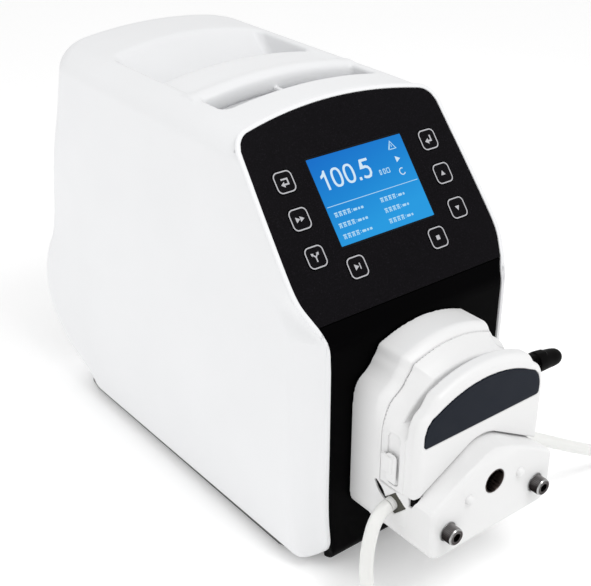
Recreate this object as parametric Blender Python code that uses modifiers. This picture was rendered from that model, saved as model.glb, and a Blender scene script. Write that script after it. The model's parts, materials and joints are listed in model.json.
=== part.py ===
# Bench peristaltic pump: a sloping-console drive with a roller head and
# silicone tubing. Millimetres inside the helpers, metres in the scene.
# +X to the pump's right as seen from the front, +Y to the back, +Z up.
# Origin: centre of the footprint, on the table.
import math

import bmesh
import bpy
from mathutils import Matrix, Vector

for old in list(bpy.data.objects):
    bpy.data.objects.remove(old, do_unlink=True)

MM = 0.001
GAP = 0.3                    # clearance between touching pieces

# --- driving dimensions (mm) ------------------------------------------------
CONSOLE_TILT = math.radians(38.6)        # console leans back from vertical
PANEL_Y, PANEL_Z = -86.0, 218.0          # middle of the display
FRONT_Y = -131.5                         # face of the lower front cover
CASE_TOP = 266.5                         # crown of the case
CASE_BOTTOM = 7.3                        # lower edge of the white shell
CASE_HALF_W = 79.5                       # widest half width
WALL = 3.0                               # moulded wall
FOOT_H = 4.0
KEY = 13.0                               # square key
KEY_TRAVEL = 0.5
DISPLAY_W, DISPLAY_H = 70.0, 52.0
AXIS_Z = 78.5                            # rotor axis height
LEVER_Z = 130.0                          # lever pivot height
HEAD_HALF_W = 50.5
TUBE_Y = -166.0                          # plane the tubing runs in
TUBE_OD = 8.0
ROLLER_ORBIT, ROLLER_R = 19.0, 8.0
BED_R = 31.0                             # occlusion bed radius
JAW_TRAVEL = 7.0
SCREW_X, SCREW_Z = 35.5, 61.0            # head mounting screws

SIN, COS = math.sin(CONSOLE_TILT), math.cos(CONSOLE_TILT)

pump = bpy.data.collections.new("peristaltic_pump")
cutters = bpy.data.collections.new("cutters")
bpy.context.scene.collection.children.link(pump)
bpy.context.scene.collection.children.link(cutters)

# --- materials -----------------------------------------------------------
COLOURS = {
    "white_abs": ((0.86, 0.87, 0.88), 0.38, 0.0),
    "black_abs": ((0.012, 0.011, 0.013), 0.42, 0.0),
    "lcd_blue": ((0.02, 0.30, 0.85), 0.15, 0.0),
    "label_navy": ((0.024, 0.030, 0.042), 0.45, 0.0),
    "steel": ((0.45, 0.45, 0.46), 0.30, 1.0),
    "zinc_sheet": ((0.60, 0.61, 0.62), 0.40, 1.0),
    "board_green": ((0.02, 0.16, 0.07), 0.50, 0.0),
    "rubber": ((0.02, 0.02, 0.02), 0.80, 0.0),
    "silicone": ((0.82, 0.83, 0.84), 0.35, 0.0),
    "nylon": ((0.75, 0.75, 0.72), 0.45, 0.0),
    "olive_grip": ((0.10, 0.10, 0.08), 0.55, 0.0),
    "black_steel": ((0.05, 0.05, 0.055), 0.35, 0.8),
}
materials = {}
for name, (colour, rough, metal) in COLOURS.items():
    m = bpy.data.materials.new(name)
    m.use_nodes = True
    b = m.node_tree.nodes["Principled BSDF"]
    b.inputs["Base Color"].default_value = (*colour, 1.0)
    b.inputs["Roughness"].default_value = rough
    b.inputs["Metallic"].default_value = metal
    materials[name] = m


# --- helpers ---------------------------------------------------------------
def add_object(name, mesh, material=None, cutter=False):
    obj = bpy.data.objects.new(name, mesh)
    (cutters if cutter else pump).objects.link(obj)
    if cutter:
        obj.hide_render = True
        obj.display_type = "WIRE"
    if material:
        mesh.materials.clear()
        mesh.materials.append(materials[material])
    return obj


def basis(x_dir, y_dir, z_dir, origin=(0, 0, 0)):
    m = Matrix.Identity(4)
    for i, d in enumerate((x_dir, y_dir, z_dir)):
        for r in range(3):
            m[r][i] = d[r]
    for r in range(3):
        m[r][3] = origin[r] * MM
    return m


FLAT = basis((1, 0, 0), (0, 1, 0), (0, 0, 1))            # outline in XY
SIDE = basis((0, 1, 0), (0, 0, 1), (1, 0, 0))            # outline in YZ
FACE = basis((1, 0, 0), (0, 0, 1), (0, -1, 0))           # outline in XZ, out to -Y


def panel_frame(offset=0.0):
    # outline in the console plane, offset along its outward normal
    n = (0, -COS, SIN)
    o = (0, PANEL_Y + n[1] * offset, PANEL_Z + n[2] * offset)
    return basis((1, 0, 0), (0, SIN, COS), n, o)


def slab(name, points, low, high, frame, material=None, cutter=False):
    """A flat outline given thickness from low to high along the frame's third axis."""
    curve = bpy.data.curves.new(name + "_outline", "CURVE")
    curve.dimensions = "2D"
    curve.fill_mode = "BOTH"
    curve.extrude = (high - low) / 2 * MM
    spline = curve.splines.new("POLY")
    spline.points.add(len(points) - 1)
    for p, (x, y) in zip(spline.points, points):
        p.co = (x * MM, y * MM, 0, 1)
    spline.use_cyclic_u = True
    guide = bpy.data.objects.new(name + "_guide", curve)
    bpy.context.scene.collection.objects.link(guide)
    bpy.context.view_layer.update()
    graph = bpy.context.evaluated_depsgraph_get()
    mesh = bpy.data.meshes.new_from_object(guide.evaluated_get(graph))
    bpy.data.objects.remove(guide, do_unlink=True)
    bm = bmesh.new()
    bm.from_mesh(mesh)
    bmesh.ops.remove_doubles(bm, verts=bm.verts, dist=1e-6)
    bmesh.ops.translate(bm, verts=bm.verts, vec=(0, 0, (low + high) / 2 * MM))
    bmesh.ops.transform(bm, verts=bm.verts, matrix=frame)
    bmesh.ops.recalc_face_normals(bm, faces=bm.faces)
    bm.to_mesh(mesh)
    bm.free()
    mesh.name = name
    return add_object(name, mesh, material, cutter)


def finish_bm(name, bm, matrix, material, cutter):
    bmesh.ops.transform(bm, verts=bm.verts, matrix=matrix)
    bmesh.ops.recalc_face_normals(bm, faces=bm.faces)
    mesh = bpy.data.meshes.new(name)
    bm.to_mesh(mesh)
    bm.free()
    return add_object(name, mesh, material, cutter)


def box(name, low, high, material=None, cutter=False, frame=None):
    bm = bmesh.new()
    bmesh.ops.create_cube(bm, size=1.0)
    size = [(h - l) * MM for l, h in zip(low, high)]
    mid = [(h + l) / 2 * MM for l, h in zip(low, high)]
    bmesh.ops.scale(bm, verts=bm.verts, vec=size)
    bmesh.ops.translate(bm, verts=bm.verts, vec=mid)
    return finish_bm(name, bm, frame or Matrix.Identity(4), material, cutter)


def rod(name, radius, y0, y1, x, z, material=None, cutter=False, sides=24, radius2=None):
    """A round bar along Y, from y0 to y1. radius2 is the radius at y1."""
    bm = bmesh.new()
    bmesh.ops.create_cone(bm, cap_ends=True, segments=sides, radius1=radius * MM,
                          radius2=(radius2 or radius) * MM, depth=abs(y1 - y0) * MM)
    turn = Matrix.Rotation(math.radians(-90), 4, "X")      # local +Z to world +Y
    place = Matrix.Translation(Vector((x, (y0 + y1) / 2, z)) * MM)
    obj = finish_bm(name, bm, place @ turn, material, cutter)
    smooth(obj)
    return obj


def turned(name, profile, x, y, z, material, axis="Y", steps=28, cutter=False):
    """A turned piece. profile is (radius, distance) down the outer side and back up the bore."""
    mesh = bpy.data.meshes.new(name)
    bm = bmesh.new()
    verts = [bm.verts.new((r * MM, 0, d * MM)) for r, d in profile]
    for a, b in zip(verts, verts[1:] + verts[:1]):
        bm.edges.new((a, b))
    bm.to_mesh(mesh)
    bm.free()
    obj = add_object(name, mesh, material, cutter)
    obj.location = Vector((x, y, z)) * MM
    if axis == "Y":                       # local +Z points to world -Y
        obj.rotation_euler = (math.radians(90), 0, 0)
    screw = obj.modifiers.new("turn", "SCREW")
    screw.axis = "Z"
    screw.angle = 2 * math.pi
    screw.steps = steps
    screw.render_steps = steps
    screw.use_merge_vertices = True
    screw.merge_threshold = 0.00002
    screw.use_smooth_shade = True
    return obj


def tube_mesh(name, points, radius, material=None, cutter=False, sides=3, smooth_path=True):
    """A round tube along points read from a smooth curve, as a mesh with closed caps."""
    curve = bpy.data.curves.new(name + "_path", "CURVE")
    curve.dimensions = "3D"
    curve.bevel_depth = radius * MM
    curve.bevel_resolution = sides
    curve.use_fill_caps = True
    spline = curve.splines.new("POLY")
    spline.points.add(len(points) - 1)
    for p, q in zip(spline.points, points):
        p.co = (q[0] * MM, q[1] * MM, q[2] * MM, 1)
    guide = bpy.data.objects.new(name + "_guide", curve)
    bpy.context.scene.collection.objects.link(guide)
    bpy.context.view_layer.update()
    graph = bpy.context.evaluated_depsgraph_get()
    mesh = bpy.data.meshes.new_from_object(guide.evaluated_get(graph))
    bpy.data.objects.remove(guide, do_unlink=True)
    bm = bmesh.new()
    bm.from_mesh(mesh)
    bmesh.ops.remove_doubles(bm, verts=bm.verts, dist=1e-6)
    bmesh.ops.recalc_face_normals(bm, faces=bm.faces)
    bm.to_mesh(mesh)
    bm.free()
    mesh.name = name
    obj = add_object(name, mesh, material, cutter)
    smooth(obj)
    return obj


def cord_tube(name, points, radius, material):
    """Free tubing: a curve object with its own round bevel."""
    curve = bpy.data.curves.new(name, "CURVE")
    curve.dimensions = "3D"
    curve.bevel_depth = radius * MM
    curve.bevel_resolution = 2
    curve.use_fill_caps = True
    spline = curve.splines.new("POLY")
    spline.points.add(len(points) - 1)
    for p, q in zip(spline.points, points):
        p.co = (q[0] * MM, q[1] * MM, q[2] * MM, 1)
    obj = bpy.data.objects.new(name, curve)
    pump.objects.link(obj)
    curve.materials.append(materials[material])
    return obj


def smooth(obj, angle=35):
    obj.data.shade_smooth()
    obj.data.set_sharp_from_angle(angle=math.radians(angle))


def cut(obj, *tools, kind="DIFFERENCE"):
    for tool in tools:
        m = obj.modifiers.new(kind.lower() + "_" + tool.name, "BOOLEAN")
        m.operation = kind
        m.object = tool
        m.solver = "EXACT"
    return obj


def join(obj, *tools):
    return cut(obj, *tools, kind="UNION")


def clip(obj, *tools):
    return cut(obj, *tools, kind="INTERSECT")


def origin_to(obj, point):
    """Puts a moving piece's origin on its joint's axis."""
    p = Vector(point) * MM
    obj.data.transform(Matrix.Translation(-(p - obj.location)))
    obj.location = p


def arc(cx, cy, r, a0, a1, n):
    return [(cx + r * math.cos(math.radians(a0 + (a1 - a0) * i / n)),
             cy + r * math.sin(math.radians(a0 + (a1 - a0) * i / n))) for i in range(n + 1)]


def rounded(half_w, half_h, r, cx=0.0, cy=0.0, n=3):
    pts = []
    for sx, sy, a in ((1, 1, 0), (-1, 1, 90), (-1, -1, 180), (1, -1, 270)):
        pts += arc(cx + sx * (half_w - r), cy + sy * (half_h - r), r, a, a + 90, n)
    return pts


def interp(table, t):
    if t <= table[0][0]:
        return table[0][1]
    for (a, va), (b, vb) in zip(table, table[1:]):
        if t <= b:
            return va + (vb - va) * (t - a) / (b - a)
    return table[-1][1]


def smooth_curve(knots, step):
    """Points every step mm along a centripetal Catmull-Rom curve through the knots."""
    ks = [Vector(k) for k in knots]
    ks = [2 * ks[0] - ks[1]] + ks + [2 * ks[-1] - ks[-2]]
    dense = []
    for p0, p1, p2, p3 in zip(ks, ks[1:], ks[2:], ks[3:]):
        t0 = 0.0
        t1 = t0 + max((p1 - p0).length, 1e-6) ** 0.5
        t2 = t1 + max((p2 - p1).length, 1e-6) ** 0.5
        t3 = t2 + max((p3 - p2).length, 1e-6) ** 0.5
        for i in range(24):
            t = t1 + (t2 - t1) * i / 24
            a1 = p0 * ((t1 - t) / (t1 - t0)) + p1 * ((t - t0) / (t1 - t0))
            a2 = p1 * ((t2 - t) / (t2 - t1)) + p2 * ((t - t1) / (t2 - t1))
            a3 = p2 * ((t3 - t) / (t3 - t2)) + p3 * ((t - t2) / (t3 - t2))
            b1 = a1 * ((t2 - t) / (t2 - t0)) + a2 * ((t - t0) / (t2 - t0))
            b2 = a2 * ((t3 - t) / (t3 - t1)) + a3 * ((t - t1) / (t3 - t1))
            dense.append(b1 * ((t2 - t) / (t2 - t1)) + b2 * ((t - t1) / (t2 - t1)))
    dense.append(ks[-2])
    total = sum((b - a).length for a, b in zip(dense, dense[1:]))
    count = max(2, round(total / step))
    out, walked, k = [dense[0]], 0.0, 0
    for i in range(1, count):
        target = total * i / count
        while walked + (dense[k + 1] - dense[k]).length < target:
            walked += (dense[k + 1] - dense[k]).length
            k += 1
        seg = (dense[k + 1] - dense[k]).length
        out.append(dense[k].lerp(dense[k + 1], (target - walked) / seg))
    out.append(dense[-1])
    return out


# --- outer form of the drive case ----------------------------------------------
# rear face, front face and half widths at each height
REAR = [(7.3, 157), (14, 171), (25, 184.4), (38, 197), (53, 204.6), (70, 207.26), (86, 205.6),
        (103, 199), (120, 189), (138, 183), (158, 180), (178, 176), (198, 171), (218, 165),
        (238, 161), (251, 157.5), (259, 153.5), (264, 147), (268, 136), (276, 120)]
HALF_W = [(7.3, 75.5), (14, 77), (26, 79.5), (100, CASE_HALF_W), (188, 79), (218, 78), (246, 76.5), (276, 75.5)]
FRONT_HALF_W = [(7.3, 66), (25, 69), (150, 69.6), (158, 70.3), (166, 72), (172, 74.5), (180, 76.8),
                (188, 78), (218, 77.2), (246, 75.7), (276, 74.5)]
LEVELS = (7.3, 11, 16, 26, 40, 56, 72, 88, 106, 124, 145, 158, 166, 172, 180, 190, 215, 240, 252, 262, 267, 274)


def front_at(z):
    if z < 29.3:                                     # rounded lower front corner
        return FRONT_Y - 0.5 + 22 - math.sqrt(max(22 ** 2 - (29.3 - z) ** 2, 0))
    bend = 164.0
    slope = FRONT_Y - 0.5 + max(0.0, z - bend) * SIN / COS
    if abs(z - bend) < 6:                            # softened bend under the console
        slope = FRONT_Y - 0.5 + (z - bend + 6) ** 2 / 24 * SIN / COS
    return slope


def section(z, inset, open_front):
    """Half outline of the case at height z, from the front centre round to the back centre."""
    yf, yr = front_at(z), interp(REAR, z) - inset
    w, wf = interp(HALF_W, z) - inset, interp(FRONT_HALF_W, z) - inset
    rear_r = 28.0 - inset
    taper = 1.5
    if open_front:
        half = [(0, yf - 24), (wf, yf - 24)]
    else:
        half = [(0, yf), (wf - 0.6, yf)]
    half += [(wf, yf + 0.8), (wf + (w - wf) * 0.16, yf + 7), (wf + (w - wf) * 0.72, yf + 14),
             (w, yf + 22), (w - taper * 0.5, (yf + yr) / 2)]
    half += [(w - taper - rear_r + rear_r * math.cos(math.radians(a)),
              yr - rear_r + rear_r * math.sin(math.radians(a))) for a in (0, 22, 45, 68)]
    half += [(w - taper - rear_r, yr), (0, yr)]
    return half


def case_loft(name, inset, open_front, low=None, cutter=True, material=None):
    bm = bmesh.new()
    rings = []
    levels = list(LEVELS)
    if low is not None:
        levels[0] = low
    for z in levels:
        half = section(max(z, 7.3), inset, open_front)
        loop = half + [(-x, y) for x, y in reversed(half[1:-1])]
        rings.append([bm.verts.new((x * MM, y * MM, z * MM)) for x, y in loop])
    for a, b in zip(rings, rings[1:]):
        for i in range(len(a)):
            j = (i + 1) % len(a)
            bm.faces.new((a[i], a[j], b[j], b[i]))
    bm.faces.new(rings[0])
    bm.faces.new(rings[-1])
    return finish_bm(name, bm, Matrix.Identity(4), material, cutter)


def crown(name, inset, low=-20, cutter=True):
    """Crowned top with soft shoulders, run from front to back."""
    top = CASE_TOP - inset
    radius = 314.0
    pts = [(x, top - (radius - math.sqrt(radius ** 2 - x * x))) for x in (64, 52, 39, 26, 13, 0)]
    z64 = pts[0][1]
    side = [(95, low), (95, z64 - 24), (CASE_HALF_W - 2.6 - inset, z64 - 15), (75.2 - inset, z64 - 8), (71 - inset, z64 - 3.2)]
    half = side + pts
    pts = half + [(-x, z) for x, z in reversed(half[:-1])]
    return slab(name, pts, -230, 170, FACE, cutter=cutter)


# --- case shell --------------------------------------------------------------------
POCKET_HALF = 57.0
outer_crown = crown("crown_outer", 0.0)
inner_crown = crown("crown_inner", WALL)
fit_crown = crown("crown_fit", WALL + GAP)

# handle recess: straight front wall, floor, and a sloping back wall
pocket_yz = [(-24, 300), (-24, 229), (-21, 226), (66, 226), (70, 228), (103, 261), (142, 300)]
pocket_wall_yz = [(-27, 300), (-27, 228), (-22.5, 223), (67, 223), (72, 225), (106, 259), (147, 300)]
pocket = slab("pocket", pocket_yz, -POCKET_HALF, POCKET_HALF, SIDE, cutter=True)
pocket_wall = slab("pocket_wall", pocket_wall_yz, -POCKET_HALF - WALL, POCKET_HALF + WALL, SIDE, cutter=True)
# cross bar of the handle, joined to both side walls
bar_yz = [(-2, 253)] + arc(3, 259, 5, 200, 110, 3) + [(6, 290), (44, 290), (44, 254), (38, 251), (4, 251)]
bar = slab("bar", bar_yz, -POCKET_HALF - 1, POCKET_HALF + 1, SIDE, cutter=True)
clip(bar, outer_crown)

cavity = case_loft("cavity", WALL, True, low=-10)
clip(cavity, inner_crown)
cut(cavity, pocket_wall)

case_shell = case_loft("case_shell", 0.0, False, cutter=False, material="white_abs")
clip(case_shell, outer_crown)
# moulded recess in the back for the rear panel, with an opening in its floor
recess = slab("recess", rounded(58, 43, 6, 0, 65), -260, -175.7, FACE, cutter=True)
recess_wall = slab("recess_wall", rounded(61, 46, 9, 0, 65), -260, -172.7, FACE, cutter=True)
cut(cavity, recess_wall)
recess_opening = box("recess_opening", (-54.5, 165, 26), (54.5, 180, 104), cutter=True)
cut(case_shell, cavity, pocket, recess, recess_opening)
join(case_shell, bar)

# --- console, lower cover, base -------------------------------------------------------
fit_loft = case_loft("fit_loft", WALL + GAP, True, low=-10)


def on_panel(v, offset=0.0):
    return (PANEL_Y + v * SIN - COS * offset, PANEL_Z + v * COS + SIN * offset)


SEAM_V = -63.0
control_panel = slab("control_panel", [on_panel(SEAM_V + 0.25, 0), on_panel(64, 0), on_panel(64, -3), on_panel(SEAM_V + 0.25, -3)],
                     -90, 90, SIDE, "black_abs")
clip(control_panel, fit_loft, fit_crown)
window_hole = slab("window_hole", rounded(DISPLAY_W / 2 + 1.3, DISPLAY_H / 2 + 1.3, 1.5), -6, 6, panel_frame(), cutter=True)
cut(control_panel, window_hole)

KEYS = {
    "key_back": (-54, 17.7), "key_fast": (-54, -4.2), "key_branch": (-54, -26.5), "key_start": (-30.7, -39.2),
    "key_enter": (54, 17.7), "key_up": (54, -4.2), "key_down": (54, -26.5), "key_stop": (31, -39.2),
}
for name, (u, v) in KEYS.items():
    hole = slab("hole_" + name, rounded(KEY / 2 + 0.4, KEY / 2 + 0.4, 3.6, u, v), -6, 6, panel_frame(), cutter=True)
    cut(control_panel, hole)
    key = slab(name, rounded(KEY / 2, KEY / 2, 3.3, u, v), -2.4, 0.2, panel_frame(), "black_abs")
    y, z = on_panel(v)
    origin_to(key, (u, y, z))

display_window = slab("display_window", rounded(DISPLAY_W / 2 + 0.9, DISPLAY_H / 2 + 0.9, 1.2), -1.8, 0.0, panel_frame(), "lcd_blue")
display_module = slab("display_module", rounded(42, 31, 1.0, n=1), -10, -3.4, panel_frame(), "steel")
keypad_board = slab("keypad_board", [(-66, -46), (66, -46), (66, 27), (-66, 27)], -5.4, -3.8, panel_frame(), "board_green")
board_hole = slab("board_hole", [(-43, -31.6), (43, -31.6), (43, 40), (-43, 40)], -8, 0, panel_frame(), cutter=True)
cut(keypad_board, board_hole)

by, bz = on_panel(SEAM_V - 0.25, 0)
cover_out = [(by, bz), (FRONT_Y + 2.6, 161.5), (FRONT_Y + 0.7, 157.5), (FRONT_Y, 152)]
cover_out += [(y, z) for y, z in arc(FRONT_Y + 12, 16, 12, 180, 262, 5)]
iy, iz = on_panel(SEAM_V - 0.25, -3)
cover_in = [(iy, iz), (FRONT_Y + 5.2, 159.5), (FRONT_Y + 3.4, 155.5), (FRONT_Y + 3, 151)]
cover_in += [(y, z) for y, z in arc(FRONT_Y + 12, 16, 9, 180, 262, 5)]
lower_front_cover = slab("lower_front_cover", cover_out + cover_in[::-1], -90, 90, SIDE, "black_abs")
clip(lower_front_cover, fit_loft)
drive_port = rod("drive_port", 20, -140, -120, 0, AXIS_Z, cutter=True, sides=32)
screw_port_l = rod("screw_port_l", 3.7, -145, -115, -SCREW_X, SCREW_Z, cutter=True, sides=16)
screw_port_r = rod("screw_port_r", 3.7, -145, -115, SCREW_X, SCREW_Z, cutter=True, sides=16)
cut(lower_front_cover, drive_port, screw_port_l, screw_port_r)

half = [(0, -117.0), (60, -117.0), (67, -113), (71, -104), (74, -94), (74, 20), (73, 128)]
half += [(46 + 27 * math.cos(math.radians(a)), 129 + 27 * math.sin(math.radians(a))) for a in (22, 45, 68, 90)]
half += [(0, 156)]
base_plate = slab("base_plate", half + [(-x, y) for x, y in reversed(half[1:-1])], FOOT_H + 0.0, CASE_BOTTOM - GAP, FLAT, "black_steel")
for name, x, y in (("foot_front_left", -52, -98), ("foot_front_right", 52, -98),
                   ("foot_rear_left", -52, 128), ("foot_rear_right", 52, 128)):
    turned(name, [(0.0001, FOOT_H - GAP), (8, FOOT_H - GAP), (7, 0.6), (6.2, 0), (0.0001, 0)], x, y, 0, "rubber", axis="Z", steps=16)

# --- rear panel group ---------------------------------------------------------------------
REAR_Y = 176.0
rear_panel = slab("rear_panel", rounded(57.6, 42.6, 5.6, 0, 65.0), -REAR_Y - 2, -REAR_Y, FACE, "zinc_sheet")
fan_hole = rod("fan_hole", 27, REAR_Y - 20, REAR_Y + 20, -24, 67, cutter=True, sides=32)
inlet_hole = slab("inlet_hole", rounded(14.3, 10.3, 1, 33, 44), -REAR_Y - 20, -REAR_Y + 20, FACE, cutter=True)
switch_hole = slab("switch_hole", rounded(10.9, 8.1, 1, 33, 69), -REAR_Y - 20, -REAR_Y + 20, FACE, cutter=True)
cut(rear_panel, fan_hole, inlet_hole, switch_hole)

fan_frame = slab("fan_frame", rounded(29.5, 29.5, 4, -24, 67), -REAR_Y + GAP, -REAR_Y + 15, FACE, "black_abs")
fan_bore = rod("fan_bore", 27.6, REAR_Y - 30, REAR_Y + 10, -24, 67, cutter=True, sides=32)
cut(fan_frame, fan_bore)
fan_spider = box("fan_spider", (-24 - 28.5, REAR_Y - 15, 65), (-24 + 28.5, REAR_Y - 12.5, 69), cutter=True)
fan_hubcap = rod("fan_hubcap", 12, REAR_Y - 15, REAR_Y - 12.5, -24, 67, cutter=True, sides=20)
join(fan_frame, fan_spider, fan_hubcap)

fan_rotor = rod("fan_rotor", 12, REAR_Y - 12, REAR_Y - 2.5, -24, 67, "black_abs", sides=20)
for i in range(7):
    blade = box("fan_blade_%d" % i, (10, -0.7, -4.2), (26.4, 0.7, 4.2), cutter=True)
    blade.data.transform(Matrix.Translation(Vector((-24, REAR_Y - 7.2, 67)) * MM)
                         @ Matrix.Rotation(math.radians(i * 360 / 7), 4, "Y")
                         @ Matrix.Rotation(math.radians(38), 4, "X"))
    join(fan_rotor, blade)
origin_to(fan_rotor, (-24, REAR_Y - 7, 67))

fan_guard = turned("fan_guard", [(29, 1.6), (29, 0), (26.6, 0), (26.6, 1.6)], -24, REAR_Y + 2 + GAP + 1.6, 67, "steel", steps=28)
guard_bars = box("guard_bar_a", (-24 - 27.6, REAR_Y + 2 + GAP, 66.2), (-24 + 27.6, REAR_Y + 2 + GAP + 1.4, 67.8), cutter=True)
guard_bars_b = box("guard_bar_b", (-24.8, REAR_Y + 2 + GAP, 67 - 27.6), (-23.2, REAR_Y + 2 + GAP + 1.4, 67 + 27.6), cutter=True)
guard_ring = turned("guard_ring", [(17.5, 1.5), (17.5, 0), (15.9, 0), (15.9, 1.5)], -24, REAR_Y + 2 + GAP + 1.5, 67, None, steps=20, cutter=True)
join(fan_guard, guard_bars, guard_bars_b, guard_ring)

power_inlet = slab("power_inlet", rounded(14, 10, 1, 33, 44), -REAR_Y - 3, -REAR_Y + 22, FACE, "black_abs")
inlet_flange = slab("inlet_flange", rounded(20, 12.2, 2.5, 33, 44), -REAR_Y - 4.4, -REAR_Y - 2 - GAP, FACE, cutter=True)
inlet_mouth = slab("inlet_mouth", rounded(11.6, 7.6, 2.4, 33, 44), -REAR_Y - 10, -REAR_Y + 14, FACE, cutter=True)
join(power_inlet, inlet_flange)
cut(power_inlet, inlet_mouth)
for i, (dx, dz) in enumerate(((-7, -1.6), (0, 2.4), (7, -1.6))):
    blade = box("inlet_blade_%d" % i, (33 + dx - 0.9, REAR_Y - 16, 44 + dz - 2.4), (33 + dx + 0.9, REAR_Y + 1.5, 44 + dz + 2.4), cutter=True)
    join(power_inlet, blade)

switch_frame = slab("switch_frame", rounded(10.6, 7.8, 1, 33, 69), -REAR_Y - 3, -REAR_Y + 13, FACE, "black_abs")
switch_flange = slab("switch_flange", rounded(12.6, 9.8, 1.5, 33, 69), -REAR_Y - 4, -REAR_Y - 2 - GAP, FACE, cutter=True)
switch_mouth = slab("switch_mouth", rounded(8.9, 6.6, 0.4, 33, 69), -REAR_Y - 10, -REAR_Y + 10, FACE, cutter=True)
join(switch_frame, switch_flange)
cut(switch_frame, switch_mouth)
# rocker paddle, seen from the side: a shallow V that see-saws about X
rocker_yz = [(REAR_Y + 4.0, 69), (REAR_Y + 5.1, 65.1), (REAR_Y - 0.5, 64.7), (REAR_Y - 5, 67), (REAR_Y - 5, 71),
             (REAR_Y - 0.5, 73.3), (REAR_Y + 2.5, 72.9)]
power_switch = slab("power_switch", rocker_yz, 33 - 8.2, 33 + 8.2, SIDE, "black_abs")
origin_to(power_switch, (33, REAR_Y - 1.5, 69))


# --- drive inside the case ----------------------------------------------------------------
motor_bracket = slab("motor_bracket", rounded(50, 48, 6, 0, AXIS_Z + 2), 124.2, 128.2, FACE, "zinc_sheet")
bracket_hole = rod("bracket_hole", 14, -135, -118, 0, AXIS_Z, cutter=True, sides=24)
cut(motor_bracket, bracket_hole, screw_port_l, screw_port_r)
motor_body = slab("motor_body", rounded(28.2, 28.2, 4, 0, AXIS_Z), 48, 123.9, FACE, "black_steel")
motor_bore = rod("motor_bore", 4.4, -128, -98, 0, AXIS_Z, cutter=True, sides=20)
cut(motor_body, motor_bore)
motor_shaft = rod("motor_shaft", 4.0, -134, -99, 0, AXIS_Z, "steel", sides=16)
drive_coupling = turned("drive_coupling", [(8.6, 147), (8.6, 127), (4.3, 127), (4.3, 136), (0.0001, 136), (0.0001, 147)], 0, 0, AXIS_Z, "black_steel", steps=20)
power_supply = box("power_supply", (-62, -38, CASE_BOTTOM + 0.3), (-8, 92, 50), "zinc_sheet")
driver_board = box("driver_board", (12, -30, 20), (62, 90, 21.6), "board_green")
heat_sink = box("heat_sink", (20, -20, 21), (54, 70, 40), cutter=True)
join(driver_board, heat_sink)

# --- tubing route through the head -----------------------------------------------------------
TRACK_R = 29.0
route = [(-52.0, TUBE_Y, 68.0), (-47.5, TUBE_Y, 69.2), (-41.5, TUBE_Y, 73.4), (-35.5, TUBE_Y, 80.5), (-29.0, TUBE_Y, 89.0)]
route += [(TRACK_R * math.sin(math.radians(a)), TUBE_Y, AXIS_Z + TRACK_R * math.cos(math.radians(a))) for a in (-50, -34, -17, 0)]
route += [(-x, y, z) for x, y, z in route[-2::-1]]


def channel(name, radius):
    return tube_mesh(name, smooth_curve(route, 6.0), radius, cutter=True, sides=2)


tube_in_head_pts = smooth_curve(route, 5.0)
# squeezed section over the rollers, round at both ends
bm = bmesh.new()
rings = []
for i, p in enumerate(tube_in_head_pts):
    a = tube_in_head_pts[max(i - 1, 0)]
    b = tube_in_head_pts[min(i + 1, len(tube_in_head_pts) - 1)]
    t = (b - a).normalized()
    side = Vector((0, 1, 0))
    up = side.cross(t).normalized()
    reach = math.hypot(p.x, p.z - AXIS_Z)
    k = min(1.0, max(0.0, (reach - TRACK_R - 1.0) / 9.0))
    k = k * k * (3 - 2 * k)
    half_t, half_w = 1.55 + (TUBE_OD / 2 - 1.55) * k, 5.4 + (TUBE_OD / 2 - 5.4) * k
    rings.append([bm.verts.new((p + side * half_w * math.cos(w) + up * half_t * math.sin(w)) * MM)
                  for w in [2 * math.pi * j / 12 for j in range(12)]])
for a, b in zip(rings, rings[1:]):
    for j in range(12):
        bm.faces.new((a[j], a[(j + 1) % 12], b[(j + 1) % 12], b[j]))
bm.faces.new(rings[0])
bm.faces.new(rings[-1])
tube_in_head = finish_bm("tube_in_head", bm, Matrix.Identity(4), "silicone", False)
smooth(tube_in_head)

# --- pump head: fixed base ------------------------------------------------------------------
PARTING = [(50.5, 80.0), (44, 82.8), (9, 101.2), (4.5, 102.6), (0, 103.0)]      # underside of the jaw's front plate
LEFT_SIDE = [(-x, z) for x, z in PARTING[:-1]]


def arch(top, radius, half, n):
    a = math.degrees(math.asin(half / radius))
    return [(radius * math.sin(math.radians(a - 2 * a * i / n)), top - radius + radius * math.cos(math.radians(a - 2 * a * i / n)))
            for i in range(n + 1)]


back_pts = arc(42.5, 52.5, 8, 270, 360, 3) + [(50.5, 122), (48.6, 129), (44, 134.5), (38.5, 138.5), (35, 143)]
back_pts += arch(156.0, 78.0, 33.0, 10) + [(-35, 143), (-38.5, 138.5), (-44, 134.5), (-48.6, 129), (-50.5, 122)]
back_pts += arc(-42.5, 52.5, 8, 180, 270, 3)
head_base = slab("head_base", back_pts, 131.8, 156.0, FACE, "white_abs")
lower_front = arc(40.5, 52.5, 8, 270, 360, 3) + [(48.5, 79.5), (44, 81.9), (9, 100.3), (4.5, 101.6), (0, 102.0)]
lower_front += [(-x, z) for x, z in lower_front[:-1][::-1]]
block = slab("block", lower_front, 155.9, 196.5, FACE, cutter=True)
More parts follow.
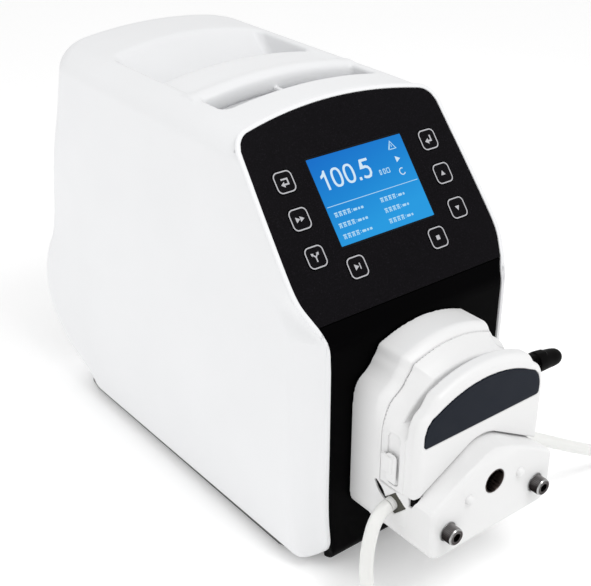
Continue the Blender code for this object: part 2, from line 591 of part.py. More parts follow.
# roof of the block falls forward
roof_cut = slab("roof_cut", [(-183.8, 130), (-183.8, 102.3), (-196.6, 97.0), (-210, 91.5), (-210, 130)], -60, 60, SIDE, cutter=True)
roof_side_r = basis((1, 0, 0), (0, 0, 1), (0, -1, 0))
cut(block, roof_cut)
join(head_base, block)
chamber = rod("chamber", 28.6, -176.3, -156.0, 0, AXIS_Z, cutter=True, sides=40)
chamber_top = slab("chamber_top", [(28.6, AXIS_Z), (28.6, 90), (31, 140), (-31, 140), (-28.6, 90), (-28.6, AXIS_Z)], 156.0, 176.3, FACE, cutter=True)
tube_channel = channel("tube_channel", 4.9)
notch_l = box("notch_l", (-60, -176, 62.5), (-34, -152, 110), cutter=True)
notch_r = box("notch_r", (34, -176, 62.5), (60, -152, 110), cutter=True)
clear_above = slab("clear_above", [(60, 62.5), (43.8, 62.5), (37, 71), (24, 88), (24, 140), (-24, 140), (-24, 88), (-37, 71), (-43.8, 62.5), (-60, 62.5), (-60, 160), (60, 160)],
                   156.0, 176.0, FACE, cutter=True)
notch_back = box("notch_back", (-60, -156.5, 62.5), (60, -152, 75.5), cutter=True)
keep_mid = box("keep_mid", (-36, -157, 60), (36, -151, 80), cutter=True)
cut(notch_back, keep_mid)
cut(head_base, chamber, clear_above, notch_back)
coupling_bore = rod("coupling_bore", 9.2, -147.4, -130, 0, AXIS_Z, cutter=True, sides=24)
bearing_seat = rod("bearing_seat", 11.3, -160, -147.9, 0, AXIS_Z, cutter=True, sides=28)
front_seat = rod("front_seat", 11.3, -185.4, -170, 0, AXIS_Z, cutter=True, sides=28)
shaft_window = rod("shaft_window", 7.6, -200, -180, 0, AXIS_Z + 0.0, cutter=True, sides=28)
shaft_clear = rod("shaft_clear", 4.6, -190, -140, 0, AXIS_Z, cutter=True, sides=16)
lever_pin_bore = rod("lever_pin_bore", 2.9, -170, -139.7, 0, LEVER_Z, cutter=True, sides=16)
cut(head_base, coupling_bore, bearing_seat, front_seat, shaft_window, shaft_clear, lever_pin_bore)
for s, tag in ((-1, "l"), (1, "r")):
    hole = rod("screw_hole_" + tag, 3.4, -205, -125, s * SCREW_X, SCREW_Z, cutter=True, sides=16)
    sink = rod("screw_sink_" + tag, 5.8, -205, -195.3, s * SCREW_X, SCREW_Z, cutter=True, sides=20)
    plug_hole = rod("plug_hole_" + tag, 2.4, -205, -190.5, s * 20.5, 75.5, cutter=True, sides=12)
    cut(head_base, hole, sink, plug_hole)

# --- pump head: moving jaw ---------------------------------------------------------------------
plate_pts = [(x, z) for x, z in PARTING] + [(-x, z) for x, z in PARTING[:-1][::-1]]
plate_outline = [(49.5, 80.5), (49.5, 118), (48.4, 124.5), (45.6, 130.5)] + arch(149.0, 80.0, 40.0, 10)
plate_outline += [(-x, z) for x, z in [(49.5, 80.5), (49.5, 118), (48.4, 124.5), (45.6, 130.5)][::-1]]
plate_outline += [(-44, 83.2), (-9, 101.6), (-4.5, 102.9), (0, 103.3), (4.5, 102.9), (9, 101.6), (44, 83.2)]
head_jaw = slab("head_jaw", plate_outline, 174.0, 184.0, FACE, "white_abs")
neck_outline = [(49.5, 76.0), (49.5, 112), (47.5, 119.5), (43, 127)] + arch(142.5, 66.0, 36.0, 8)
neck_outline += [(-x, z) for x, z in [(49.5, 76.0), (49.5, 112), (47.5, 119.5), (43, 127)][::-1]]
neck = slab("neck", neck_outline, 156.6, 167.4, FACE, cutter=True)
bed_block = slab("bed_block", [(49.5, 76.0), (49.5, 116.5), (-49.5, 116.5), (-49.5, 76.0)], 167.3, 174.1, FACE, cutter=True)
join(neck, bed_block)
under = [(60, 75.9), (45.8, 75.9), (41.5, 80.5), (35.5, 88.2), (27.4, 98.2)]
bed = arc(0, AXIS_Z, BED_R, 46, 134, 12)
bed_cut = slab("bed_cut", [(60, 40)] + under[:1] + [(45.8, 75.9), (41.8, 80.0), (36, 87.2), (28.5, 96.6)] + bed
               + [(-28.5, 96.6), (-36, 87.2), (-41.8, 80.0), (-45.8, 75.9), (-60, 75.9), (-60, 40)], 150, 174.2, FACE, cutter=True)
cut(neck, bed_cut)
join(head_jaw, neck)
rotor_clear = rod("rotor_clear", BED_R, -176.6, -150, 0, AXIS_Z, cutter=True, sides=40)
cam_window = box("cam_window", (-13, -170, 117.2), (13, -150, 135.7), cutter=True)
lever_slot = box("lever_slot", (-70, -173.8, 116.2), (70, -167.5, 170), cutter=True)
cut(head_jaw, rotor_clear, cam_window, lever_slot)
label_seat = slab("label_seat", [(45.3, 114), (45.3, 120), (43.4, 126), (40, 129.6)] + arch(140.8, 74.3, 36.0, 10)
                  + [(-40, 129.6), (-43.4, 126), (-45.3, 120), (-45.3, 114), (-43.8, 112.2), (43.8, 112.2)], 182.8, 190, FACE, cutter=True)
cut(head_jaw, label_seat)
label_plate = slab("label_plate", [(45.0, 114), (45.0, 120), (43.1, 125.8), (39.8, 129.3)] + arch(140.5, 74.0, 35.8, 10)
                   + [(-39.8, 129.3), (-43.1, 125.8), (-45.0, 120), (-45.0, 114), (-43.6, 112.5), (43.6, 112.5)], 183.1, 184.3, FACE, "label_navy")
for s, tag in ((-1, "left"), (1, "right")):
    slot = box("retainer_slot_" + tag, (min(s * 44.5, s * 60), -170.6, 80), (max(s * 44.5, s * 60), -163.4, 107), cutter=True)
    cut(head_jaw, slot)
    stem = box("tube_retainer_" + tag, (min(s * 46, s * 50.2), -170.2, 89.5), (max(s * 46, s * 50.2), -163.8, 98.5), "white_abs")
    nub = box("retainer_nub_" + tag, (min(s * 49.9, s * 53), -169.5, 90), (max(s * 49.9, s * 53), -160, 98), cutter=True)
    join(stem, nub)
    origin_to(stem, (s * 49, -167, 94))
    saddle = box("tube_clip_" + tag, (min(s * 43.9, s * 49.3), -172.5, 62.8), (max(s * 43.9, s * 49.3), -158.5, 70.5), "olive_grip")
    cut(saddle, channel("saddle_cut_" + tag, 4.8))

# --- lever -------------------------------------------------------------------------------------
tip = Vector((79.5, 0, 119.2))
d = Vector((tip.x, 0, tip.z - LEVER_Z)).normalized()
n = Vector((-d.z, 0, d.x))


def along(s, t):
    p = Vector((0, 0, LEVER_Z)) + d * s + n * t
    return (p.x, p.z)


arm = [along(0, 6.2), along(30, 6.1), along(60, 6.0), along(60, -6.0), along(30, -6.1), along(0, -6.2)]
arm += [(6.2 * math.cos(a), LEVER_Z + 6.2 * math.sin(a)) for a in [math.radians(x) for x in (250, 215, 180, 145, 110)]]
lever = slab("lever", arm, 168.2, 173.4, FACE, "black_abs")
cam = rod("lever_cam", 8.0, -168.3, -159.0, 0, LEVER_Z - 3.5, cutter=True, sides=24)
grip = turned("lever_grip", [(0.0001, 79.9), (2.6, 79.5), (4.6, 77.6), (5.6, 74.6), (6.3, 68), (6.9, 57), (0.0001, 57)], 0, -170.8, LEVER_Z, None, axis="Z", steps=16, cutter=True)
grip.rotation_euler = (0, math.atan2(d.x, d.z), 0)
join(lever, cam, grip)
pin_hole = rod("lever_pin_hole", 2.6, -180, -150, 0, LEVER_Z, cutter=True, sides=16)
cut(lever, pin_hole)
origin_to(lever, (0, -170.8, LEVER_Z))
lever_pin = rod("lever_pin", 2.5, -173.6, -140, 0, LEVER_Z, "steel", sides=16)

# --- rotor --------------------------------------------------------------------------------------
rotor_hub = turned("rotor_hub", [(25, 174.8), (25, 172.9), (9.5, 172.9), (9.5, 159.1), (25, 159.1), (25, 157.2), (4.3, 157.2), (4.3, 174.8)],
                   0, 0, AXIS_Z, "nylon", steps=36)
for i in range(3):
    a = math.radians(90 + 120 * i)
    x, z = ROLLER_ORBIT * math.cos(a), AXIS_Z + ROLLER_ORBIT * math.sin(a)
    pin_bore = rod("pin_bore_%d" % i, 2.25, -180, -150, x, z, cutter=True, sides=14)
    cut(rotor_hub, pin_bore)
    rod("roller_pin_%d" % (i + 1), 2.0, -174.8, -157.2, x, z, "steel", sides=14)
    roller = turned("roller_%d" % (i + 1), [(ROLLER_R, 172.5), (ROLLER_R, 159.5), (2.3, 159.5), (2.3, 172.5)], x, 0, z, "steel", steps=24)
rotor_shaft = rod("rotor_shaft", 4.0, -190, -147.3, 0, AXIS_Z, "steel", sides=16)
turned("rear_bearing", [(11, 155.6), (11, 148.3), (4.3, 148.3), (4.3, 155.6)], 0, 0, AXIS_Z, "steel", steps=24)
turned("front_bearing", [(11, 185.1), (11, 178), (4.3, 178), (4.3, 185.1)], 0, 0, AXIS_Z, "steel", steps=24)

for s, tag in ((-1, "left"), (1, "right")):
    screw = turned("head_screw_" + tag, [(0.0001, 205.5), (4.9, 205.5), (5.2, 204.8), (5.2, 195.7), (3.1, 195.7), (3.1, 121), (0.0001, 121)],
                   s * SCREW_X, 0, SCREW_Z, "black_steel", steps=20)
    socket = turned("socket_" + tag, [(0.0001, 207), (2.9, 207), (2.9, 200.5), (0.0001, 200.5)], s * SCREW_X, 0, SCREW_Z, None, steps=6, cutter=True)
    cut(screw, socket)
    turned("block_plug_" + tag, [(0.0001, 198.9), (2.0, 198.6), (3.2, 197.7), (3.5, 196.8), (2.1, 196.8), (2.1, 191.2), (0.0001, 191.2)],
           s * 20.5, 0, 75.5, "white_abs", steps=16)

# --- free tubing --------------------------------------------------------------------------------
COIL_OUT, COIL_IN = 56.5, 32.5          # a flat coil, its turns side by side
left_tail = [(-52.36, TUBE_Y, 67.9), (-56.2, TUBE_Y, 66.9), (-61.8, TUBE_Y - 0.5, 62), (-66.5, TUBE_Y - 1.2, 50), (-68.8, TUBE_Y - 2.2, 38),
             (-71, TUBE_Y - 5.5, 24), (-74.8, TUBE_Y - 12, 13), (-80, TUBE_Y - 19.5, 6.6), (-84.7, TUBE_Y - 25.8, 4.4)]
cord_tube("tube_tail_left", [Vector(left_tail[0])] + smooth_curve(left_tail[1:], 9.0), TUBE_OD / 2, "silicone")
right_tail = [(52.36, TUBE_Y, 67.9), (56.5, TUBE_Y, 66.8), (63, TUBE_Y, 63.8), (74, TUBE_Y, 57.6), (90, TUBE_Y, 48), (110, TUBE_Y, 36), (130, TUBE_Y, 24.4),
              (147, TUBE_Y - 0.6, 14), (160, TUBE_Y - 4, 7.4), (170.5, TUBE_Y - 11, 4.9), (178, TUBE_Y - 21, 4.3), (182.5, TUBE_Y - 31, 4.2), (185.3, TUBE_Y - 38.8, 4.2)]
cord_tube("tube_tail_right", [Vector(right_tail[0])] + smooth_curve(right_tail[1:], 9.0), TUBE_OD / 2, "silicone")
for tag, x, y in (("left", -62.4, -249.2), ("right", 147.0, -253.0)):
    turned("tube_coil_" + tag, [(COIL_OUT, 8.4), (COIL_OUT, 0.2), (COIL_IN, 0.2), (COIL_IN, 8.4)], x, y, 0, "silicone", axis="Z", steps=32)
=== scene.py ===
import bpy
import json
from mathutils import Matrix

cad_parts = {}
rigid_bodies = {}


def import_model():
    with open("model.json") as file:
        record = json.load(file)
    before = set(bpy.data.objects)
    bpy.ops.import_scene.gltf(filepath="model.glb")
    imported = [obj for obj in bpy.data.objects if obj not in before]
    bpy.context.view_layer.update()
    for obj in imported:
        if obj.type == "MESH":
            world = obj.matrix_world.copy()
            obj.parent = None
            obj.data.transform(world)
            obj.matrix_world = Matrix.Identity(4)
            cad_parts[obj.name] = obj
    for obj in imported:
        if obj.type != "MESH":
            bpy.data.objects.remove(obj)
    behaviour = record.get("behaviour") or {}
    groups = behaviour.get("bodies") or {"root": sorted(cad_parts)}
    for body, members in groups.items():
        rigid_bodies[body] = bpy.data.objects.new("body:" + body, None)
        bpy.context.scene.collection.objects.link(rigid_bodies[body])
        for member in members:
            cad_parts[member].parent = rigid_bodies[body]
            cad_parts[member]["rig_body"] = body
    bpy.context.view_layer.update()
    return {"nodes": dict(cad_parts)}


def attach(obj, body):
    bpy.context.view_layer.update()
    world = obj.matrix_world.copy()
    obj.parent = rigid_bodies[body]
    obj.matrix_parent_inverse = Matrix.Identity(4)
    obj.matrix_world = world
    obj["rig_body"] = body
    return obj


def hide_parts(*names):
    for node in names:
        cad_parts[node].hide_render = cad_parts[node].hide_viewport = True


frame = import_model()

import json
import math

import bmesh
import bpy
import numpy as np
from mathutils import Matrix, Vector

MM = 0.001
NODES = frame["nodes"]
scene = bpy.context.scene

# ----------------------------------------------------------------------------
# camera: the lens and place solved for the photograph's view
# ----------------------------------------------------------------------------
AZ, EL, ROLL = math.radians(-38.44), math.radians(28.0), math.radians(0.2)
fwd = Vector((-math.sin(AZ) * math.cos(EL), math.cos(AZ) * math.cos(EL), -math.sin(EL)))
right0 = Vector((math.cos(AZ), math.sin(AZ), 0))
up0 = right0.cross(fwd)
right = right0 * math.cos(ROLL) + up0 * math.sin(ROLL)
up = up0 * math.cos(ROLL) - right0 * math.sin(ROLL)
cam_data = bpy.data.cameras.new("camera")
cam_data.sensor_fit = "HORIZONTAL"
cam_data.sensor_width = 36.0
cam_data.lens = 69.2
cam = bpy.data.objects.new("camera", cam_data)
m = Matrix.Identity(4)
for i, d in enumerate((right, up, -fwd)):
    for r in range(3):
        m[r][i] = d[r]
m.translation = Vector((-404.3, -526.3, 467.7)) * MM
cam.matrix_world = m
scene.collection.objects.link(cam)
scene.camera = cam


# ----------------------------------------------------------------------------
# implicit solids: distance fields in mm, meshed by surface nets
# ----------------------------------------------------------------------------
def rmax(a, b, r):
    """Intersection with a round edge of radius r."""
    return np.minimum(np.maximum(a, b), -r) + np.hypot(np.maximum(a + r, 0), np.maximum(b + r, 0))


def rmin(a, b, r):
    """Union with a round fillet of radius r."""
    return -rmax(-a, -b, r)


def smax(a, b, k):
    h = np.maximum(k - np.abs(a - b), 0) / k
    return np.maximum(a, b) + h * h * k * 0.25


def catmull(points, per=8, closed=False):
    """A smooth line through the points (2D or 3D)."""
    P = [np.array(p, float) for p in points]
    P = [P[-1]] + P + [P[0], P[1]] if closed else [2 * P[0] - P[1]] + P + [2 * P[-1] - P[-2]]
    out = []
    for p0, p1, p2, p3 in zip(P, P[1:], P[2:], P[3:]):
        t0 = 0.0
        t1 = t0 + max(np.linalg.norm(p1 - p0), 1e-9) ** 0.5
        t2 = t1 + max(np.linalg.norm(p2 - p1), 1e-9) ** 0.5
        t3 = t2 + max(np.linalg.norm(p3 - p2), 1e-9) ** 0.5
        for i in range(per):
            t = t1 + (t2 - t1) * i / per
            a1 = p0 * ((t1 - t) / (t1 - t0)) + p1 * ((t - t0) / (t1 - t0))
            a2 = p1 * ((t2 - t) / (t2 - t1)) + p2 * ((t - t1) / (t2 - t1))
            a3 = p2 * ((t3 - t) / (t3 - t2)) + p3 * ((t - t2) / (t3 - t2))
            b1 = a1 * ((t2 - t) / (t2 - t0)) + a2 * ((t - t0) / (t2 - t0))
            b2 = a2 * ((t3 - t) / (t3 - t1)) + a3 * ((t - t1) / (t3 - t1))
            out.append(b1 * ((t2 - t) / (t2 - t1)) + b2 * ((t - t1) / (t2 - t1)))
    if not closed:
        out.append(P[-2])
    return np.array(out)


def table(points, per=8):
    """A smooth function through (input, output) pairs."""
    c = catmull(points, per)
    order = np.argsort(c[:, 0])
    xs, ys = c[order, 0], c[order, 1]
    return lambda t: np.interp(t, xs, ys)


class Outline:
    """Signed distance to a closed 2D outline, tabulated and read by interpolation."""

    def __init__(self, points, step=0.5, margin=14.0, grow=0.0):
        P = np.array(points, float)
        self.lo = P.min(0) - margin
        self.n = np.ceil((P.max(0) + margin - self.lo) / step).astype(int) + 1
        self.step = step
        a = self.lo[0] + step * np.arange(self.n[0])[:, None]
        b = self.lo[1] + step * np.arange(self.n[1])[None, :]
        best = np.full(self.n, 1e12)
        inside = np.zeros(self.n, bool)
        for p, q in zip(P, np.roll(P, -1, 0)):
            d = q - p
            L = d @ d
            if L < 1e-12:
                continue
            t = np.clip(((a - p[0]) * d[0] + (b - p[1]) * d[1]) / L, 0, 1)
            best = np.minimum(best, (a - p[0] - t * d[0]) ** 2 + (b - p[1] - t * d[1]) ** 2)
            if p[1] != q[1]:
                cross = (b >= min(p[1], q[1])) & (b < max(p[1], q[1]))
                inside ^= cross & (a < p[0] + (b - p[1]) / d[1] * d[0])
        self.F = (np.where(inside, -1, 1) * np.sqrt(best) - grow).astype(np.float32)

    def __call__(self, a, b):
        u = np.clip((a - self.lo[0]) / self.step, 0, self.n[0] - 1.001)
        v = np.clip((b - self.lo[1]) / self.step, 0, self.n[1] - 1.001)
        i, j = u.astype(np.int32), v.astype(np.int32)
        s, t = u - i, v - j
        F = self.F
        return (F[i, j] * (1 - s) + F[i + 1, j] * s) * (1 - t) + (F[i, j + 1] * (1 - s) + F[i + 1, j + 1] * s) * t


def box_field(x, y, z, low, high, r=0.0):
    c = [(l + h) / 2 for l, h in zip(low, high)]
    e = [(h - l) / 2 - r for l, h in zip(low, high)]
    q = [np.abs(v - m) - s for v, m, s in zip((x, y, z), c, e)]
    out = np.sqrt(np.maximum(q[0], 0) ** 2 + np.maximum(q[1], 0) ** 2 + np.maximum(q[2], 0) ** 2)
    return out + np.minimum(np.maximum(q[0], np.maximum(q[1], q[2])), 0) - r


def surface_net(f, low, high, step):
    n = [int(math.ceil((h - l) / step)) + 1 for l, h in zip(low, high)]
    ax = [np.float32(l) + np.float32(step) * np.arange(k, dtype=np.float32) for l, k in zip(low, n)]
    F = np.empty(n, np.float32)
    slab = max(1, int(3e6 / (n[1] * n[2])))
    for a in range(0, n[0], slab):
        F[a:a + slab] = f(*np.meshgrid(ax[0][a:a + slab], ax[1], ax[2], indexing="ij"))
    S = F < 0
    corners = [(i, j, k) for i in (0, 1) for j in (0, 1) for k in (0, 1)]
    view = lambda A, c: A[c[0]:n[0] - 1 + c[0], c[1]:n[1] - 1 + c[1], c[2]:n[2] - 1 + c[2]]
    count = sum(view(S, c).astype(np.uint8) for c in corners)
    I, J, K = np.nonzero((count > 0) & (count < 8))
    V = {c: F[I + c[0], J + c[1], K + c[2]].astype(float) for c in corners}
    total, hits = np.zeros((len(I), 3)), np.zeros(len(I))
    for c in corners:
        for axis in range(3):
            if c[axis]:
                continue
            d = tuple(c[k] + (k == axis) for k in range(3))
            a, b = V[c], V[d]
            hit = (a < 0) != (b < 0)
            t = np.where(hit, a / np.where(hit, a - b, 1), 0)
            p = np.tile(np.array(c, float), (len(I), 1))
            p[:, axis] += t
            total += p * hit[:, None]
            hits += hit
    P = np.stack([I, J, K], 1) + total / hits[:, None]
    P = np.array(low) + step * P
    index = np.full([k - 1 for k in n], -1, np.int32)
    index[I, J, K] = np.arange(len(I))
    quads = []
    for axis in range(3):
        b, c = (axis + 1) % 3, (axis + 2) % 3
        s0 = [slice(None)] * 3
        s1 = [slice(None)] * 3
        s0[axis], s1[axis] = slice(0, n[axis] - 1), slice(1, n[axis])
        A, B = S[tuple(s0)], S[tuple(s1)]
        E = np.stack(np.nonzero(A != B), 1)
        ok = (E[:, b] > 0) & (E[:, c] > 0) & (E[:, b] < n[b] - 1) & (E[:, c] < n[c] - 1)
        E = E[ok]
        lower = A[E[:, 0], E[:, 1], E[:, 2]]
        cells = []
        for db, dc in ((-1, -1), (0, -1), (0, 0), (-1, 0)):
            q = E.copy()
            q[:, b] += db
            q[:, c] += dc
            cells.append(index[q[:, 0], q[:, 1], q[:, 2]])
        Q = np.stack(cells, 1)
        Q[~lower] = Q[~lower][:, ::-1]
        quads.append(Q)
    return P, np.concatenate(quads)


def gradient(f, P, eps=0.08):
    g = []
    for k in range(3):
        d = np.zeros(3)
        d[k] = eps
        a, b = P + d, P - d
        g.append((f(a[:, 0], a[:, 1], a[:, 2]) - f(b[:, 0], b[:, 1], b[:, 2])) / (2 * eps))
    return np.stack(g, 1)


def settle(f, P, reach, rounds=3):
    for _ in range(rounds):
        v = f(P[:, 0], P[:, 1], P[:, 2])
        g = gradient(f, P)
        move = -g * (v / np.maximum((g * g).sum(1), 0.05))[:, None]
        length = np.linalg.norm(move, axis=1, keepdims=True)
        P = P + move * np.minimum(1, reach / np.maximum(length, 1e-9))
    return P


def new_mesh(name, verts, faces):
    mesh = bpy.data.meshes.new(name)
    verts = np.asarray(verts, np.float32) * np.float32(MM)
    if isinstance(faces, np.ndarray) and faces.ndim == 2:
        n, k = faces.shape
        mesh.vertices.add(len(verts))
        mesh.vertices.foreach_set("co", verts.ravel())
        mesh.loops.add(n * k)
        mesh.loops.foreach_set("vertex_index", faces.astype(np.int32).ravel())
        mesh.polygons.add(n)
        mesh.polygons.foreach_set("loop_start", np.arange(0, n * k, k, dtype=np.int32))
        mesh.update(calc_edges=True)
        mesh.validate()
    else:
        mesh.from_pydata([tuple(v) for v in verts], [], [tuple(f) for f in faces])
        mesh.update()
    return mesh


def add(name, mesh, material=None, body=None, replaces=()):
    obj = bpy.data.objects.new(name, mesh)
    scene.collection.objects.link(obj)
    if material:
        if hasattr(mesh, "materials"):
            mesh.materials.clear()
            mesh.materials.append(material)
    if body:
        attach(obj, body)
    if replaces:
        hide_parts(*([replaces] if isinstance(replaces, str) else replaces))
    return obj


def baked(obj):
    """The object's mesh with its modifiers applied."""
    bpy.context.view_layer.update()
    graph = bpy.context.evaluated_depsgraph_get()
    mesh = bpy.data.meshes.new_from_object(obj.evaluated_get(graph))
    obj.modifiers.clear()
    obj.data = mesh
    return mesh


def implicit(name, f, low, high, step, faces, **kw):
    """Meshes a distance field, thins it to about that many triangles, and gives it exact normals."""
    P, Q = surface_net(f, low, high, step)
    P = settle(f, P, step * 0.6, 2)
    mesh = new_mesh(name, P, Q)
    obj = add(name, mesh)
    if len(Q) * 2 > faces:
        d = obj.modifiers.new("thin", "DECIMATE")
        d.ratio = faces / (len(Q) * 2)
        mesh = baked(obj)
    co = np.empty(len(mesh.vertices) * 3, np.float32)
    mesh.vertices.foreach_get("co", co)
    P = co.reshape(-1, 3).astype(float) / MM
    P = settle(f, P, step * 0.4, 2)
    mesh.vertices.foreach_set("co", (P * MM).astype(np.float32).ravel())
    mesh.update()
    mesh.shade_smooth()
    g = gradient(f, P, 0.25)
    g /= np.maximum(np.linalg.norm(g, axis=1, keepdims=True), 1e-9)
    no = np.empty(len(mesh.vertices) * 3, np.float32)
    mesh.vertices.foreach_get("normal", no)
    no = no.reshape(-1, 3)
    bad = (g * no).sum(1) < 0.75
    g[bad] = no[bad]
    mesh.normals_split_custom_set_from_vertices([tuple(v) for v in g])
    mesh.materials.clear()
    if kw.get("material"):
        mesh.materials.append(kw["material"])
    if kw.get("body"):
        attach(obj, kw["body"])
    if kw.get("replaces"):
        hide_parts(kw["replaces"])
    print(f"{name}: {len(Q)} quads, kept {len(mesh.polygons)} faces")
    return obj


# ----------------------------------------------------------------------------
# materials
# ----------------------------------------------------------------------------
def principled(name, colour, rough=0.5, metal=0.0, **sockets):
    mat = bpy.data.materials.new(name)
    mat.use_nodes = True
    b = mat.node_tree.nodes["Principled BSDF"]
    b.inputs["Base Color"].default_value = (*colour, 1)
    b.inputs["Roughness"].default_value = rough
    b.inputs["Metallic"].default_value = metal
    for key, value in sockets.items():
        b.inputs[key.replace("_", " ")].default_value = value
    return mat, mat.node_tree, b


def grain(tree, scale, detail=3.0, rough=0.55, distortion=0.0, stretch=None):
    coord = tree.nodes.new("ShaderNodeTexCoord")
    noise = tree.nodes.new("ShaderNodeTexNoise")
    noise.inputs["Scale"].default_value = scale
    noise.inputs["Detail"].default_value = detail
    noise.inputs["Roughness"].default_value = rough
    noise.inputs["Distortion"].default_value = distortion
    source = coord.outputs["Object"]
    if stretch:
        mapping = tree.nodes.new("ShaderNodeMapping")
        mapping.inputs["Scale"].default_value = stretch
        tree.links.new(source, mapping.inputs["Vector"])
        source = mapping.outputs["Vector"]
    tree.links.new(source, noise.inputs["Vector"])
    return noise.outputs["Fac"]


def ramp(tree, fac, stops):
    node = tree.nodes.new("ShaderNodeValToRGB")
    el = node.color_ramp.elements
    while len(el) < len(stops):
        el.new(0.5)
    for e, (pos, col) in zip(el, stops):
        e.position = pos
        e.color = (*col, 1)
    tree.links.new(fac, node.inputs["Fac"])
    return node.outputs["Color"]


def bump(tree, b, fac, strength, distance):
    node = tree.nodes.new("ShaderNodeBump")
    node.inputs["Strength"].default_value = strength
    node.inputs["Distance"].default_value = distance
    tree.links.new(fac, node.inputs["Height"])
    tree.links.new(node.outputs["Normal"], b.inputs["Normal"])


def spread(tree, fac, low, high):
    node = tree.nodes.new("ShaderNodeMapRange")
    node.inputs["From Min"].default_value = 0.3
    node.inputs["From Max"].default_value = 0.7
    node.inputs["To Min"].default_value = low
    node.inputs["To Max"].default_value = high
    tree.links.new(fac, node.inputs["Value"])
    return node.outputs["Result"]


def moulded(name, colour, rough, vary=0.03, tooth=1400, depth=0.04, strength=0.25, metal=0.0, **sockets):
    """Moulded plastic: a fine spark-eroded grain, faint mottling, and roughness that wanders."""
    mat, tree, b = principled(name, colour, rough, metal, **sockets)
    broad = grain(tree, 14, 2.0)
    lo = tuple(max(0, c * (1 - vary)) for c in colour)
    hi = tuple(min(1, c * (1 + vary)) for c in colour)
    tree.links.new(ramp(tree, broad, [(0.3, lo), (0.7, hi)]), b.inputs["Base Color"])
    fine = grain(tree, tooth, 2.0, 0.6)
    bump(tree, b, fine, strength, depth * MM)
    tree.links.new(spread(tree, grain(tree, 60, 3.0), rough - 0.05, rough + 0.05), b.inputs["Roughness"])
    return mat


M = {}
M["white"] = moulded("white_moulded", (0.80, 0.805, 0.815), 0.40, 0.012, 1500, 0.02, 0.2)
M["white_head"] = moulded("white_head", (0.80, 0.80, 0.80), 0.42, 0.012, 1500, 0.02, 0.2)
M["black"] = moulded("black_textured", (0.005, 0.0045, 0.0055), 0.42, 0.25, 1500, 0.05, 0.5, Specular_IOR_Level=0.08)
M["black_cover"] = moulded("black_cover", (0.0007, 0.0006, 0.0008), 0.42, 0.25, 1300, 0.05, 0.45, Specular_IOR_Level=0.015)
M["black_soft"] = moulded("black_soft", (0.0016, 0.0014, 0.0015), 0.45, 0.2, 1100, 0.05, 0.5, Specular_IOR_Level=0.03)
M["navy"] = moulded("label_film", (0.0085, 0.0115, 0.019), 0.42, 0.06, 1800, 0.015, 0.3, Specular_IOR_Level=0.07)
M["rubber"] = moulded("foot_rubber", (0.018, 0.018, 0.018), 0.8, 0.2, 900, 0.08, 0.6)
M["nylon"] = moulded("nylon", (0.72, 0.71, 0.66), 0.42, 0.03, 900, 0.03, 0.3)
M["olive"] = moulded("grip_insert", (0.045, 0.043, 0.030), 0.5, 0.2, 1200, 0.05, 0.5)
M["board"] = moulded("board_green", (0.015, 0.13, 0.055), 0.45, 0.15, 700, 0.04, 0.5)
M["print"] = moulded("white_print", (0.42, 0.42, 0.44), 0.5, 0.02, 1500, 0.01, 0.2)
M["black_paint"] = moulded("black_paint", (0.03, 0.03, 0.032), 0.4, 0.12, 1000, 0.03, 0.4)


def metal(name, colour, rough, stretch=(1, 1, 1), scale=900, strength=0.12):
    mat, tree, b = principled(name, colour, rough, 1.0)
    g = grain(tree, scale, 3.0, 0.6, 0.0, stretch)
    lo = tuple(c * 0.82 for c in colour)
    hi = tuple(min(1, c * 1.12) for c in colour)
    tree.links.new(ramp(tree, g, [(0.3, lo), (0.7, hi)]), b.inputs["Base Color"])
    tree.links.new(spread(tree, g, rough - 0.08, rough + 0.1), b.inputs["Roughness"])
    bump(tree, b, g, strength, 0.02 * MM)
    return mat


M["steel"] = metal("ground_steel", (0.55, 0.55, 0.56), 0.28, (1, 0.05, 1))
M["screw"] = metal("screw_steel", (0.085, 0.072, 0.072), 0.2, (1, 0.1, 1), 700)
tree = M["screw"].node_tree
b = next(n for n in tree.nodes if n.type == "BSDF_PRINCIPLED")
facing = tree.nodes.new("ShaderNodeSeparateXYZ")
tree.links.new(tree.nodes.new("ShaderNodeNewGeometry").outputs["Normal"], facing.inputs[0])
height = tree.nodes.new("ShaderNodeMapRange")                # painted shade and highlight: darker where the surface faces down, lighter where it faces up, and a painted highlight on the turned edge facing the front
height.inputs["From Min"].default_value, height.inputs["From Max"].default_value = -1.0, 1.0
tree.links.new(facing.outputs["Z"], height.inputs["Value"])
# painted shade and highlight: base colour set by how far the surface faces up
shade = ramp(tree, height.outputs["Result"], [(0.0, (0.010, 0.007, 0.008)), (0.62, (0.013, 0.010, 0.010)), (0.86, (0.036, 0.030, 0.031)), (0.95, (0.16, 0.15, 0.15)), (1.0, (0.34, 0.33, 0.33))])
front = tree.nodes.new("ShaderNodeMath")
front.operation = "MULTIPLY"
front.inputs[1].default_value = -1.0
tree.links.new(facing.outputs["Y"], front.inputs[0])
# painted highlight on the chamfer and turned edge facing the front; the flat end face stays dark
painted_edge_highlight = ramp(tree, front.outputs[0], [(0.0, (0, 0, 0)), (0.22, (0, 0, 0)), (0.45, (0.5, 0.5, 0.5)), (0.8, (0.45, 0.45, 0.45)), (0.95, (0.06, 0.055, 0.055)), (1.0, (0.05, 0.042, 0.042))])
both = tree.nodes.new("ShaderNodeMix")
both.data_type = "RGBA"
both.blend_type = "LIGHTEN"
both.inputs["Factor"].default_value = 1.0
tree.links.new(shade, both.inputs[6])
tree.links.new(painted_edge_highlight, both.inputs[7])
tree.links.new(both.outputs[2], b.inputs["Base Color"])
M["dark_metal"] = metal("dark_metal", (0.07, 0.055, 0.05), 0.3, (1, 0.1, 1), 600)
M["zinc"] = metal("zinc_plate", (0.62, 0.63, 0.64), 0.36, (1, 1, 1), 240)

